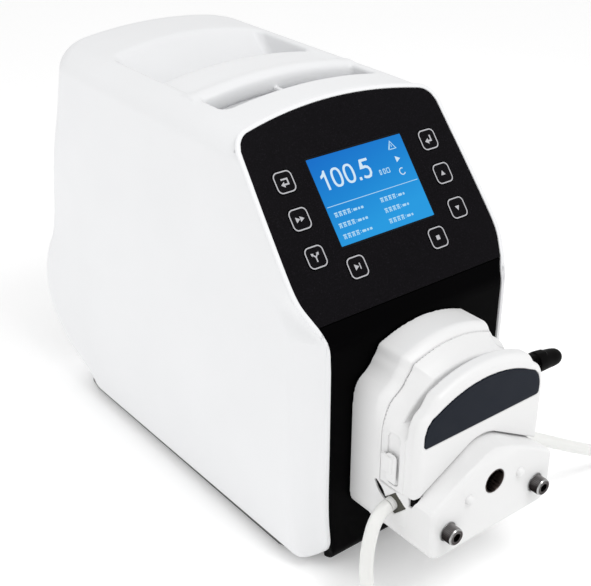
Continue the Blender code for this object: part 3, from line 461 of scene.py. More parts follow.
mat, tree, b = principled("silicone_tube", (0.90, 0.91, 0.89), 0.3, 0.0, IOR=1.41, Subsurface_Weight=0.5, Transmission_Weight=0.12)
b.inputs["Subsurface Radius"].default_value = (0.004, 0.004, 0.004)
tree.links.new(ramp(tree, grain(tree, 40, 2.0), [(0.3, (0.88, 0.885, 0.86)), (0.7, (0.93, 0.93, 0.91))]), b.inputs["Base Color"])
bump(tree, b, grain(tree, 500, 2.0), 0.15, 0.03 * MM)
M["tube"] = mat

# console film: black with a fine pale fleck
mat, tree, b = principled("console_film", (0.004, 0.0035, 0.0045), 0.38, 0.0, Specular_IOR_Level=0.045)
fleck = ramp(tree, grain(tree, 1700, 1.5, 0.5), [(0.30, (0.0018, 0.0014, 0.002)), (0.60, (0.0036, 0.003, 0.0042)), (0.76, (0.014, 0.012, 0.016))])
tree.links.new(fleck, b.inputs["Base Color"])
tree.links.new(spread(tree, grain(tree, 80, 3.0), 0.32, 0.42), b.inputs["Roughness"])
bump(tree, b, grain(tree, 1300, 2.0), 0.35, 0.03 * MM)
M["panel"] = mat

mat, tree, b = principled("lens", (0.005, 0.006, 0.008), 0.3, 0.0, Specular_IOR_Level=0.06)
tree.links.new(ramp(tree, grain(tree, 50, 2.0), [(0.3, (0.004, 0.005, 0.007)), (0.7, (0.007, 0.008, 0.010))]), b.inputs["Base Color"])
M["lens"] = mat


def lit(name, stops, strength):
    """A lit panel: its colour runs from corner to corner, with the faint unevenness of a backlight."""
    mat, tree, b = principled(name, (0.002, 0.003, 0.006), 0.3)
    coord = tree.nodes.new("ShaderNodeTexCoord")
    mapping = tree.nodes.new("ShaderNodeMapping")
    mapping.inputs["Location"].default_value = (-0.0352, 0.0, 0.0)
    split = tree.nodes.new("ShaderNodeSeparateXYZ")
    tree.links.new(coord.outputs["Object"], split.inputs["Vector"])
    # across the width, and up the height
    across = tree.nodes.new("ShaderNodeMapRange")
    across.inputs["From Min"].default_value, across.inputs["From Max"].default_value = -0.036, 0.036
    tree.links.new(split.outputs["X"], across.inputs["Value"])
    height = tree.nodes.new("ShaderNodeMapRange")
    height.inputs["From Min"].default_value, height.inputs["From Max"].default_value = 0.1977, 0.2383
    tree.links.new(split.outputs["Z"], height.inputs["Value"])
    mix = tree.nodes.new("ShaderNodeMath")
    mix.operation = "MULTIPLY_ADD"
    mix.inputs[1].default_value = -0.35
    tree.links.new(across.outputs["Result"], mix.inputs[0])
    tree.links.new(height.outputs["Result"], mix.inputs[2])
    noise = grain(tree, 30, 2.0)
    add_ = tree.nodes.new("ShaderNodeMath")
    add_.operation = "MULTIPLY_ADD"
    add_.inputs[1].default_value = 0.12
    tree.links.new(noise, add_.inputs[0])
    tree.links.new(mix.outputs["Value"], add_.inputs[2])
    tree.nodes.remove(mapping)
    col = ramp(tree, add_.outputs["Value"], stops)
    tree.links.new(col, b.inputs["Emission Color"])
    b.inputs["Specular IOR Level"].default_value = 0.04
    b.inputs["Emission Strength"].default_value = strength
    return mat


M["lit"] = lit("display_backlight", [(0.0, (0.019, 0.33, 0.76)), (0.5, (0.010, 0.24, 0.67)), (1.0, (0.006, 0.165, 0.60))], 0.97)
M["glow"] = lit("display_segments", [(0.0, (0.62, 0.80, 0.94)), (1.0, (0.70, 0.86, 0.97))], 0.95)
M["glow_dim"] = lit("display_small_segments", [(0.0, (0.42, 0.70, 0.93)), (1.0, (0.50, 0.78, 0.95))], 0.95)

# ----------------------------------------------------------------------------
# free tubing: the route of the tails and the coils that hold the rest
# ----------------------------------------------------------------------------
TUBE_D, TUBE_Y = 8.0, -166.0
COIL_R0, COIL_PITCH = 52.0, 8.25
left_tail = [(-52.36, TUBE_Y, 67.9), (-56.2, TUBE_Y, 66.9), (-61.8, TUBE_Y - 0.5, 62), (-66.5, TUBE_Y - 1.2, 50), (-68.8, TUBE_Y - 2.2, 38),
             (-71, TUBE_Y - 5.5, 24), (-74.8, TUBE_Y - 12, 13), (-80, TUBE_Y - 19.5, 6.6), (-84.7, TUBE_Y - 25.8, 4.4)]
right_tail = [(52.36, TUBE_Y, 67.9), (56.5, TUBE_Y, 66.8), (63, TUBE_Y, 63.8), (74, TUBE_Y, 57.6), (90, TUBE_Y, 48), (110, TUBE_Y, 36), (130, TUBE_Y, 24.4),
              (147, TUBE_Y - 0.6, 14), (160, TUBE_Y - 4, 7.4), (170.5, TUBE_Y - 11, 4.9), (178, TUBE_Y - 21, 4.3), (182.5, TUBE_Y - 31, 4.2), (185.3, TUBE_Y - 38.8, 4.2)]


def coil(cx, cy, start, turns, direction):
    out = []
    n = int(turns * 26)
    for i in range(n + 1):
        a = 2 * math.pi * turns * i / n
        r = COIL_R0 - COIL_PITCH * a / (2 * math.pi)
        w = start + direction * a
        out.append((cx + r * math.cos(w), cy + r * math.sin(w), 4.25))
    return out


TURNS = 1.78
routes = {
    "left": left_tail + coil(-62.4, -249.2, math.radians(143.1), TURNS, 1),
    "right": right_tail + coil(147.0, -253.0, math.radians(19.9), TURNS, -1),
}


def even(points, step):
    c = catmull(points, 16)
    seg = np.linalg.norm(np.diff(c, axis=0), axis=1)
    s = np.concatenate([[0], np.cumsum(seg)])
    n = max(8, int(round(s[-1] / step)))
    t = np.linspace(0, s[-1], n + 1)
    return np.stack([np.interp(t, s, c[:, k]) for k in range(3)], 1), s[-1]


def hollow_tube(name, path, outer, inner, sides=20, flatten=None):
    """A tube with a bore and cut ends, swept along the path."""
    n = len(path)
    T = np.gradient(path, axis=0)
    T /= np.linalg.norm(T, axis=1, keepdims=True)
    side = np.array([0, 1.0, 0]) - T[0] * T[0][1]
    side /= np.linalg.norm(side)
    verts, faces = [], []
    ang = np.linspace(0, 2 * math.pi, sides, endpoint=False)
    frames = []
    for i in range(n):
        side = side - T[i] * (side @ T[i])
        side /= np.linalg.norm(side)
        frames.append((side.copy(), np.cross(T[i], side)))
    for k, radius in enumerate((outer, inner)):
        for i in range(n):
            s, u = frames[i]
            ring = path[i] + radius * (np.cos(ang)[:, None] * s + np.sin(ang)[:, None] * u)
            verts += [tuple(v) for v in ring]
        base = k * n * sides
        for i in range(n - 1):
            for j in range(sides):
                a, b_ = base + i * sides + j, base + i * sides + (j + 1) % sides
                c, d = a + sides, b_ + sides
                faces.append((a, b_, d, c) if k == 0 else (a, c, d, b_))
    for i, flip in ((0, True), (n - 1, False)):
        for j in range(sides):
            a, b_ = i * sides + j, i * sides + (j + 1) % sides
            c, d = a + n * sides, b_ + n * sides
            faces.append((a, c, d, b_) if flip else (a, b_, d, c))
    mesh = new_mesh(name, verts, faces)
    bm = bmesh.new()
    bm.from_mesh(mesh)
    bmesh.ops.recalc_face_normals(bm, faces=bm.faces)
    bm.to_mesh(mesh)
    bm.free()
    mesh.shade_smooth()
    mesh.set_sharp_from_angle(angle=math.radians(50))
    return mesh


for tag in ("left", "right"):
    pts, length = even(routes[tag], 3.0)
    print(f"tube {tag}: {length:.1f} mm")
    obj = add("free_tube_" + tag, hollow_tube("free_tube_" + tag, pts, TUBE_D / 2, 2.4), M["tube"], "case",
              ("tube_tail_" + tag, "tube_coil_" + tag))
    start = routes[tag][0]
    tuple(c * MM for c in start)
    [tuple(p * MM) for p in pts]

# ----------------------------------------------------------------------------
# case
# ----------------------------------------------------------------------------
TILT = math.radians(38.6)
ST, CT = math.sin(TILT), math.cos(TILT)
half_black = table([(-20, 58), (10, 60.5), (21, 63), (43, 65.6), (98, 66.1), (148, 66.4), (156, 66.7), (160.5, 67.2), (165, 68.6), (169.1, 70.4), (173.5, 72.4),
                    (178, 74.4), (181.8, 75.5), (187, 76.0), (196.1, 75.8), (210.2, 75.1), (224.3, 74.3), (238.3, 73.3), (246.1, 72.8), (262, 71.6), (290, 69.8)])
half_wide = table([(-20, 79.5), (26, 79.5), (100, 79.5), (150, 79.3), (188, 79.1), (218, 78), (246, 76.6), (280, 75.6)])
rear_line = [(157, 7.3), (171, 14), (184.4, 25), (197, 38), (204.4, 53), (206.9, 70), (205.5, 86), (199, 103), (189, 120), (183, 138), (180, 158), (176, 178), (171, 198),
             (165, 218), (161, 238), (158.5, 251), (155, 280)]
rear = Outline([(-300, -60), (120, -60)] + [tuple(p) for p in catmull([(147, 2.5)] + rear_line, 6)] + [(-300, 280)], 1.0, 30)
pocket = Outline([(-24.5 + 7, 330), (-24.5 + 7, 228 + 7), (65.5 - 2, 228 + 7), (106 - 2, 275.5), (160, 330)], 0.5, 30, 7.0)
bar_shape = Outline(catmull([(-1.8, -7.8), (-1.0, -3.0), (2.2, -0.5), (6.5, 0.0), (10.5, -1.1), (13.2, -2.6), (17, -3.0), (30, -2.8), (40, -2.8), (43.6, -4.2),
                             (44.4, -8), (43.5, -13), (39, -14.8), (20, -15), (3, -14.6), (-0.6, -12.4)], 6, True), 0.4, 12)


def front_field(y, z, proud):
    upright = -(y + 131.5) - proud
    sloped = -CT * (y + 86) + ST * (z - 218) - proud
    return smax(upright, sloped, 3.0)


def front_y(z):
    bend = 156.0
    return -131.5 + np.maximum(z - bend - 3, 0) * ST / CT


def top_z(x, y):
    return 264.9 + 1.6 * np.clip((y + 48) / 187, 0, 1) - (314 - np.sqrt(314 ** 2 - np.minimum(np.abs(x), 90) ** 2))


def outline_field(x, y, z):
    """Distance to the edge of the black front, taken on the front surface."""
    v = (y + 86) * ST + (z - 218) * CT
    side = np.abs(x) - half_black(z)
    crown = v - (57.0 - 0.00185 * x * x)
    return rmax(side, crown, 8.0)


def case_body(x, y, z):
    ax = np.abs(x)
    t = np.clip((y - front_y(z)) / 22, 0, 1)
    wide = half_wide(z) - 1.5 * np.clip((y + 100) / 280, 0, 1)
    narrow = np.minimum(half_black(z) + 3.0, wide)
    step = wide - narrow
    W = wide - step * (1 - t * t * (3 - 2 * t))
    slope = step * 6 * t * (1 - t) / 22
    side = (ax - W) / np.sqrt(1 + slope * slope)
    tuck = (ax - 79.5) * 0.978 + (26 - z) * 0.209
    side = smax(side, tuck, 4.0)
    f = rmax(side, rear(y, z), 28.0)
    top = z - top_z(x, y)
    f = rmax(f, top, 12.5)
    f = rmax(f, 7.3 - z, 2.2)
    f = rmax(f, front_field(y, z, 0.15), 1.3)
    corner = np.hypot(np.maximum(-109.5 - y, 0), np.maximum(29.3 - z, 0)) - 22.15
    f = np.where((y < -109.5) & (z < 29.3), rmax(f, corner, 1.3), f)
    well = rmax(pocket(y, z), ax - 57, 6.0)
    f = rmax(f, -well, 2.6)
    bar = np.maximum(bar_shape(y, z - top_z(x, 20.0) - 0.9), ax - 61)
    rib = box_field(x, y, z, (-5.0, -27, 224), (-2.0, 2, 257), 0.8)
    f = rmin(f, np.minimum(bar, rib), 2.5)
    recess = rmax(rmax(ax - 58, np.abs(z - 65) - 43, 6.0), 175.7 - y, 2.0)
    return rmax(f, -recess, 1.6)


def case_shell(x, y, z):
    f = case_body(x, y, z)
    ax = np.abs(x)
    s = np.maximum(f, -(f + 3.0))
    front = front_field(y, z, 0.0)
    cut = np.maximum(outline_field(x, y, z) - 0.7, -(front + 3.9))
    s = np.maximum(s, -cut)
    mouth = np.maximum(np.maximum(ax - 54.5, np.abs(z - 65) - 39), np.abs(y - 172) - 8)
    s = np.maximum(s, -mouth)
    base = np.maximum(np.maximum(ax - 70, z - 12), np.maximum(y - 150, -y - 112))
    return np.maximum(s, -base)


implicit("case", case_shell, (-83, -136, 4), (83, 210, 270), 1.45, 170000,
         material=M["white"], body="case", replaces="case_shell", slot="white_abs")


# ----------------------------------------------------------------------------
# helpers for machined and moulded pieces
# ----------------------------------------------------------------------------
def finish_mesh(mesh, sharp=38):
    """Smooth shading with flat faces kept flat."""
    mesh.shade_smooth()
    mesh.set_sharp_from_angle(angle=math.radians(sharp))
    return mesh


def weighted(obj, sharp=38):
    finish_mesh(obj.data, sharp)
    m = obj.modifiers.new("weight", "WEIGHTED_NORMAL")
    m.keep_sharp = True
    m.weight = 80
    mesh = baked(obj)
    return mesh


def dress(obj, material=None, body=None, replaces=(), slot=None):
    if material:
        obj.data.materials.clear()
        obj.data.materials.append(material)
    if body:
        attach(obj, body)
    if replaces:
        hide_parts(*([replaces] if isinstance(replaces, str) else replaces))
    return obj


def on_panel(v, offset=0.0):
    return (-86.0 + v * ST - CT * offset, 218.0 + v * CT + ST * offset)


PANEL = Matrix(((1, 0, 0, 0), (0, ST, -CT, -86.0), (0, CT, ST, 218.0), (0, 0, 0, 1)))    # u, v, out
FRONT = Matrix(((1, 0, 0, 0), (0, 0, -1, 0), (0, 1, 0, 0), (0, 0, 0, 1)))                # x, z, -y


def cut_sheet(name, loops, low, high, frame_matrix, edge=0.0, segments=2, holes_edge=True):
    """A flat sheet cut to an outline, with holes, from low to high along the frame's third axis."""
    curve = bpy.data.curves.new(name, "CURVE")
    curve.dimensions = "2D"
    curve.fill_mode = "BOTH"
    for pts in loops:
        sp = curve.splines.new("POLY")
        sp.points.add(len(pts) - 1)
        for p, q in zip(sp.points, pts):
            p.co = (q[0], q[1], 0, 1)
        sp.use_cyclic_u = True
    curve.extrude = (high - low) / 2 - edge
    if edge:
        curve.bevel_depth = edge
        curve.bevel_resolution = segments
        curve.offset = -edge
    obj = bpy.data.objects.new(name, curve)
    scene.collection.objects.link(obj)
    bpy.context.view_layer.update()
    graph = bpy.context.evaluated_depsgraph_get()
    mesh = bpy.data.meshes.new_from_object(obj.evaluated_get(graph))
    scene.collection.objects.unlink(obj)
    bpy.data.objects.remove(obj)
    bm = bmesh.new()
    bm.from_mesh(mesh)
    bmesh.ops.remove_doubles(bm, verts=bm.verts, dist=1e-4)
    bmesh.ops.translate(bm, vec=(0, 0, (low + high) / 2), verts=bm.verts)
    bmesh.ops.transform(bm, matrix=frame_matrix, verts=bm.verts)
    bmesh.ops.scale(bm, vec=(MM, MM, MM), verts=bm.verts)
    bmesh.ops.recalc_face_normals(bm, faces=bm.faces)
    bm.to_mesh(mesh)
    bm.free()
    mesh.materials.clear()
    out = bpy.data.objects.new(name, mesh)
    scene.collection.objects.link(out)
    return out


def arc2(cx, cy, r, a0, a1, n):
    return [(cx + r * math.cos(math.radians(a0 + (a1 - a0) * i / n)), cy + r * math.sin(math.radians(a0 + (a1 - a0) * i / n))) for i in range(n + 1)]


def rounded(hw, hh, r, cx=0.0, cy=0.0, n=6):
    pts = []
    for sx, sy, a in ((1, 1, 0), (-1, 1, 90), (-1, -1, 180), (1, -1, 270)):
        pts += arc2(cx + sx * (hw - r), cy + sy * (hh - r), r, a, a + 90, n)
    return pts


def mirrored(half):
    """Closes an outline given from the bottom middle up the right side to the top middle."""
    return half + [(-x, z) for x, z in reversed(half) if abs(x) > 1e-6]


def lathe(name, profile, cx, cy, axis="-Y", cz=0.0, sides=64, ripple=None):
    """Turned piece: profile of (radius, distance) pairs; distance runs along the axis. ripple(radius, distance, angle) changes the radius."""
    verts, faces = [], []
    n = len(profile)
    ang = [2 * math.pi * k / sides for k in range(sides)]
    ids = []
    for r, d in profile:
        if r < 1e-3:
            ids.append([len(verts)] * sides)
            rings = [0.0]
        else:
            ids.append([len(verts) + k for k in range(sides)])
            rings = ang
        for a in rings:
            rr = ripple(r, d, a) if ripple and r > 1e-3 else r
            u, v = (rr * math.cos(a), rr * math.sin(a)) if r > 1e-3 else (0.0, 0.0)
            if axis == "-Y":
                verts.append((cx + u, -d, cz + v))
            else:
                verts.append((cx + u, cy + v, d))
    for i in range(n - 1):
        A, B = ids[i], ids[i + 1]
        for k in range(sides):
            j = (k + 1) % sides
            f = [A[k], A[j], B[j], B[k]]
            f = [q for q, p in zip(f, f[-1:] + f[:-1]) if q != p]
            if len(set(f)) > 2:
                faces.append(f)
    mesh = new_mesh(name, verts, faces)
    bm = bmesh.new()
    bm.from_mesh(mesh)
    bmesh.ops.recalc_face_normals(bm, faces=bm.faces)
    bm.to_mesh(mesh)
    bm.free()
    return mesh


def body_name(node):
    return NODES[node]["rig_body"]


def refine(node, width, material, slot, segments=2, angle=26, sharp=38):
    """A copy of a CAD node with its edges broken by a small radius."""
    mesh = NODES[node].data.copy()
    mesh.name = node + "_finished"
    bm = bmesh.new()
    bm.from_mesh(mesh)
    bmesh.ops.remove_doubles(bm, verts=bm.verts, dist=2e-6)
    bmesh.ops.dissolve_limit(bm, angle_limit=math.radians(0.8), verts=bm.verts, edges=bm.edges)
    edges = [e for e in bm.edges if len(e.link_faces) == 2 and e.calc_face_angle(0) > math.radians(angle)]
    if edges and width:
        bmesh.ops.bevel(bm, geom=edges, offset=width * MM, segments=segments, profile=0.5, affect="EDGES", clamp_overlap=True)
    bmesh.ops.triangulate(bm, faces=[f for f in bm.faces if len(f.verts) > 4])
    bmesh.ops.recalc_face_normals(bm, faces=bm.faces)
    bm.to_mesh(mesh)
    bm.free()
    if "custom_normal" in mesh.attributes:
        mesh.attributes.remove(mesh.attributes["custom_normal"])
    obj = bpy.data.objects.new(node + "_finished", mesh)
    scene.collection.objects.link(obj)
    weighted(obj, sharp)
    return dress(obj, material, body_name(node), node, slot)


# ----------------------------------------------------------------------------
# console: panel, keys, display
# ----------------------------------------------------------------------------
def half_at(v):
    return float(half_black(218 + v * CT)) - 0.17


def crown_at(u):
    return 57.0 - 0.00185 * u * u - 0.17


def solve(f, lo, hi):
    for _ in range(40):
        mid = (lo + hi) / 2
        lo, hi = (mid, hi) if f(mid) < 0 else (lo, mid)
    return (lo + hi) / 2


def edge_of(u, v):
    return float(rmax(np.float64(u - half_at(v)), np.float64(v - crown_at(u)), 8.0))


side_v = np.concatenate([np.arange(-62.75, -40, 1.2), np.arange(-40, 44.5, 4.0)])
outline = [(0.0, -62.75)] + [(solve(lambda u: edge_of(u, v), 0, 90), float(v)) for v in side_v]
u0, v0 = outline[-1]
corner_u = [u0 - (u0 - 62.0) * (k / 14) ** 1.6 for k in range(1, 15)] + [56, 48, 40, 32, 24, 16, 8, 0]
outline += [(float(u), solve(lambda v: edge_of(u, v), 30, 70)) for u in corner_u]
panel_loop = mirrored(outline)

KEYS = {
    "key_back": (-54, 17.7), "key_fast": (-54, -4.2), "key_branch": (-54, -26.5), "key_start": (-30.7, -39.2),
    "key_enter": (54, 17.7), "key_up": (54, -4.2), "key_down": (54, -26.5), "key_stop": (31, -39.2),
}
loops = [panel_loop, rounded(36.2, 27.2, 1.5)]
loops += [rounded(6.5 + 0.35, 6.5 + 0.35, 3.6, u, v) for u, v in KEYS.values()]
panel = cut_sheet("console_panel", loops, -3.0, 0.0, PANEL, 0.25)
weighted(panel, 50)
dress(panel, M["panel"], "case", "control_panel", "black_abs")


def decal(name, loops, low, high, material, body):
    obj = cut_sheet(name, loops, low, high, PANEL)
    return dress(obj, material, body, (), "black_abs")


def ring(hw, hh, r, width, u, v):
    return [rounded(hw, hh, r, u, v, 7), rounded(hw - width, hh - width, max(r - width, 0.3), u, v, 7)]


def bar(x0, y0, x1, y1, w):
    """A straight stroke with square ends."""
    d = Vector((x1 - x0, y1 - y0)).normalized()
    n = Vector((-d.y, d.x)) * w / 2
    return [(x0 + n.x, y0 + n.y), (x0 - n.x, y0 - n.y), (x1 - n.x, y1 - n.y), (x1 + n.x, y1 + n.y)]


def at(points, u, v):
    return [(x + u, y + v) for x, y in points]


tri_right = [(-1.9, 2.1), (-1.9, -2.1), (1.7, 0)]
ICONS = {
    "key_back": [[(3.4, 2.7), (3.4, -2.4), (-0.6, -2.4), (-0.6, -4.0), (-3.8, -1.8), (-0.6, 0.4), (-0.6, -1.2), (2.2, -1.2), (2.2, 1.5), (-2.6, 1.5), (-2.6, 2.7)]],
    "key_fast": [at(tri_right, -1.7, 0), at(tri_right, 2.0, 0)],
    "key_branch": [[(-0.55, -3.6), (-0.55, -0.2), (-2.3, 1.5), (-3.0, 0.8), (-3.5, 3.3), (-1.0, 2.8), (-1.6, 2.2), (0, 0.7), (1.6, 2.2), (1.0, 2.8), (3.5, 3.3),
                    (3.0, 0.8), (2.3, 1.5), (0.55, -0.2), (0.55, -3.6)]],
    "key_start": [at([(-1.7, 2.3), (-1.7, -2.3), (2.1, 0)], -0.8, 0.2), rounded(0.45, 2.3, 0.2, 2.3, 0.2, 2)],
    "key_enter": [[(3.0, 3.2), (3.0, -1.9), (-0.4, -1.9), (-0.4, -3.5), (-3.8, -1.2), (-0.4, 1.1), (-0.4, -0.5), (1.7, -0.5), (1.7, 3.2)]],
    "key_up": [[(-2.2, -1.5), (2.2, -1.5), (0, 2.2)]],
    "key_down": [[(-2.2, 1.5), (0, -2.2), (2.2, 1.5)]],
    "key_stop": [rounded(1.7, 1.7, 0.25, 0, 0, 2)],
}
for name, (u, v) in KEYS.items():
    cap = cut_sheet(name + "_cap", [rounded(6.5, 6.5, 3.3, u, v, 8)], -2.4, 0.2, PANEL, 0.22)
    weighted(cap, 50)
    dress(cap, M["panel"], name, name, "black_abs")
    decal(name + "_print", ring(6.28, 6.28, 3.3, 0.72, u, v) + [at([(0.78 * a, 0.78 * b) for a, b in p], u, v) for p in ICONS[name]], 0.19, 0.25, M["print"], name)

lens = cut_sheet("display_lens", [rounded(36.1, 27.1, 1.4, 0, 0)], -1.8, -0.1, PANEL, 0.0)
weighted(lens, 50)
dress(lens, M["lens"], "case", "display_window", "lcd")
decal("display_field", [rounded(35.2, 25.9, 0.5, 0, 0, 3)], -0.07, 0.0, M["lit"], "case")


def stroke(points, w):
    """A line of even width along the points, as an outline."""
    P = [Vector(p) for p in points]
    left, right_ = [], []
    for i, p in enumerate(P):
        d = (P[min(i + 1, len(P) - 1)] - P[max(i - 1, 0)]).normalized()
        k = 1.0
        if 0 < i < len(P) - 1:
            a, b = (P[i] - P[i - 1]).normalized(), (P[i + 1] - P[i]).normalized()
            k = 1 / max(0.5, math.sqrt(max(0.0, (1 + a.dot(b)) / 2)))
        n = Vector((-d.y, d.x)) * w / 2 * k
        left.append(tuple(p + n))
        right_.append(tuple(p - n))
    return left + right_[::-1]


def oval(hw, hh, cx, cy, n=28):
    e = 2 / 2.5
    return [(cx + hw * math.copysign(abs(math.cos(t)) ** e, math.cos(t)), cy + hh * math.copysign(abs(math.sin(t)) ** e, math.sin(t)))
            for t in [2 * math.pi * k / n for k in range(n)]]


small = []
for v in (-8.2, -14.7, -21.2):                               # rows of small status marks
    for k, reach in ((0, 8), (1, 7)):
        x = -31.5 + 34.0 * k
        for j in range(reach):
            w = (2.3, 2.3, 2.3, 2.3, 0.55, 2.8, 1.3, 1.8)[j]
            if j < 4:
                small += [rounded(w / 2, 0.4, 0.1, x + w / 2, v + 1.0, 1), rounded(w / 2 * 0.8, 0.36, 0.1, x + w / 2, v - 0.05, 1),
                          rounded(0.4, 0.42, 0.1, x + w / 2 - 0.6, v - 0.95, 1), rounded(0.4, 0.42, 0.1, x + w / 2 + 0.65, v - 0.95, 1)]
            elif j == 4:
                small += [rounded(0.25, 0.25, 0.1, x + 0.3, v + 0.5, 1), rounded(0.25, 0.25, 0.1, x + 0.3, v - 0.7, 1)]
            else:
                small += [rounded(w / 2, 0.7, 0.3, x + w / 2, v - 0.2, 2)]
            x += w + 0.75
small.append(rounded(34.2, 0.2, 0.1, 0, -2.9, 1))
for k, w in enumerate((1.5, 1.9, 2.6)):                      # small unit marks beside the reading
    small += ring(w / 2, 1.6, 0.6, 0.5, 10.6 + 2.9 * k, 7.2)
small += [stroke([(23.0, 18.4), (28.4, 18.4), (25.7, 23.2), (23.0, 18.4), (23.6, 18.4)], 0.5), rounded(0.25, 0.8, 0.1, 25.7, 20.4, 1)]
decal("display_marks", small, 0.0, 0.03, M["glow_dim"], "case")
ink = [at([(-1.5, 1.9), (-1.5, -1.9), (1.8, 0)], 26.4, 12.0), stroke([(26 + 2.0 * math.cos(math.radians(a)), 4.2 + 2.0 * math.sin(math.radians(a))) for a in range(60, 331, 30)], 0.6)]
H0, H1, SW = 6.2, 17.8, 1.55
HM = (H0 + H1) / 2
ink += [[(-27.6, H1), (-26.5, H1), (-26.5, H0), (-28.0, H0), (-28.0, H1 - 3.3), (-30.4, H1 - 4.5), (-30.4, H1 - 3.0), (-28.5, H1 - 1.6)]]
for cx in (-19.6, -10.6):
    ink += [oval(3.75, (H1 - H0) / 2, cx, HM), oval(3.75 - SW, (H1 - H0) / 2 - 1.35, cx, HM)]
ink += [rounded(0.9, 0.9, 0.2, -4.2, H0 + 0.9, 2)]
five = [(4.9, H1 - 0.7), (-0.3, H1 - 0.7), (-0.9, HM + 0.5), (0.3, HM + 1.0), (1.7, HM + 1.15), (3.4, HM + 0.5), (4.3, HM - 1.0), (4.25, HM - 3.0), (3.2, H0 + 1.1), (1.5, H0 + 0.65), (-0.2, H0 + 0.9), (-1.4, H0 + 1.6)]
ink += [stroke(five, SW)]
decal("display_reading", ink, 0.0, 0.03, M["glow"], "case")

# lower cover: one moulded skin from the seam down the front and under the edge
top_y, top_z_ = on_panel(-63.25, -0.02)
path = [(top_y, top_z_)]
bend_pts = [(-131.0 + 2.6, 162.4), (-131.0 + 0.9, 158.6), (-131.0 + 0.1, 154.5), (-131.0, 150.0)]
path += [tuple(p) for p in catmull([(top_y, top_z_)] + bend_pts + [(-131.0, 140.0)], 4)][1:-1]
path += [(-131.0, z) for z in np.arange(138, 18, -8.0)]
path += [(y, z) for y, z in arc2(-119.5, 16.5, 11.5, 180, 262, 9)]
path = np.array(path, float)
seg = np.gradient(path, axis=0)
seg /= np.linalg.norm(seg, axis=1, keepdims=True)
normal = np.stack([seg[:, 1], -seg[:, 0]], 1)                # points out of the front
normal *= np.where(normal[:, 0] > 0.2, -1, 1)[:, None]
cols = [-1.1, -1, -0.997, -0.992, -0.98] + list(np.linspace(-0.94, 0.94, 25)) + [0.98, 0.992, 0.997, 1, 1.1]
cols = np.array(cols)
verts, faces = [], []
EDGE = 0.8
for (y, z), (ny, nz) in zip(path, normal):
    w = float(half_black(z)) - 0.17
    for c in cols:
        x = max(-1.0, min(1.0, c)) * w
        d = max(0.0, abs(x) - (w - EDGE))
        drop = EDGE - math.sqrt(max(EDGE * EDGE - d * d, 0))
        if abs(c) > 1.0:
            x, drop = math.copysign(w, c), 7.0
        verts.append((x, y - ny * drop, z - nz * drop))
m = len(cols)
for i in range(len(path) - 1):
    for j in range(m - 1):
        a = i * m + j
        faces.append((a, a + 1, a + m + 1, a + m))
mesh = new_mesh("front_cover", verts, faces)
bm = bmesh.new()
bm.from_mesh(mesh)
bmesh.ops.recalc_face_normals(bm, faces=bm.faces)
bm.to_mesh(mesh)
bm.free()
cover = bpy.data.objects.new("front_cover", mesh)
scene.collection.objects.link(cover)
mid = mesh.polygons[len(mesh.polygons) // 2]
if mid.normal.y > 0:
    mesh.flip_normals()
s = cover.modifiers.new("wall", "SOLIDIFY")
s.thickness = 2.6 * MM
s.offset = -1
baked(cover)
port = bpy.data.objects.new("port_tool", lathe("port_tool", [(0, 118), (20, 118), (20, 140), (0, 140)], 0, 0, cz=78.5, sides=64))
scene.collection.objects.link(port)
b_ = cover.modifiers.new("port", "BOOLEAN")
b_.object = port
b_.operation = "DIFFERENCE"
b_.solver = "EXACT"
baked(cover)
bpy.data.objects.remove(port)
finish_mesh(cover.data, 40)
dress(cover, M["black_cover"], "case", "lower_front_cover", "black_abs")

# the white rim that frames the black front, a little proud of it
P, N = [], []
rim_path = [(-109.5 + 21.85 * math.cos(math.radians(a)), 29.3 + 21.85 * math.sin(math.radians(a)), math.cos(math.radians(a)), math.sin(math.radians(a)))
            for a in (266, 258, 250, 242, 234, 226, 218, 210, 202, 194, 187)]
rim_path += [(-131.35, z, -1.0, 0.0) for z in np.arange(31, 150, 7.0)]
rim_path += [(y, z, ny, nz) for (y, z), (ny, nz) in zip(path[::-1], normal[::-1]) if z > 150.0]
for y, z, ny, nz in rim_path:
    P.append((float(half_black(z)) - 0.17, y, z))
    N.append((0.0, ny, nz))
for u, v in outline[1:]:
    y, z = on_panel(v, 0.0)
    P.append((u, y, z))
    N.append((0.0, -CT, ST))
P = np.array(P + [(-p[0], p[1], p[2]) for p in P[-2::-1]])
N = np.array(N + N[-2::-1])
T = np.gradient(P, axis=0)
for _ in range(2):
    T[1:-1] = (T[:-2] + 2 * T[1:-1] + T[2:]) / 4
T /= np.linalg.norm(T, axis=1, keepdims=True)
B = np.cross(T, N)
B /= np.linalg.norm(B, axis=1, keepdims=True)
B *= np.sign(B[5][0])
SECTION = [(0.27, -3.4), (0.27, 0.05), (0.36, 0.27), (0.56, 0.42), (0.85, 0.48), (1.9, 0.48), (2.5, 0.36), (2.95, 0.06), (3.18, -0.35), (2.35, -2.4), (1.5, -3.4)]
verts = [tuple(p + b * e + n * h) for p, b, n in zip(P, B, N) for e, h in SECTION]
k = len(SECTION)
faces = [(i * k + j, i * k + (j + 1) % k, (i + 1) * k + (j + 1) % k, (i + 1) * k + j) for i in range(len(P) - 1) for j in range(k)]
faces += [tuple(range(k)), tuple(range((len(P) - 1) * k, len(P) * k))]
mesh = new_mesh("front_rim", verts, faces)
bm = bmesh.new()
bm.from_mesh(mesh)
bmesh.ops.recalc_face_normals(bm, faces=bm.faces)
bm.to_mesh(mesh)
bm.free()
finish_mesh(mesh, 50)
add("front_rim", mesh, M["white"], "case", ())

# ----------------------------------------------------------------------------
# pump head
# ----------------------------------------------------------------------------
AXIS = 78.5


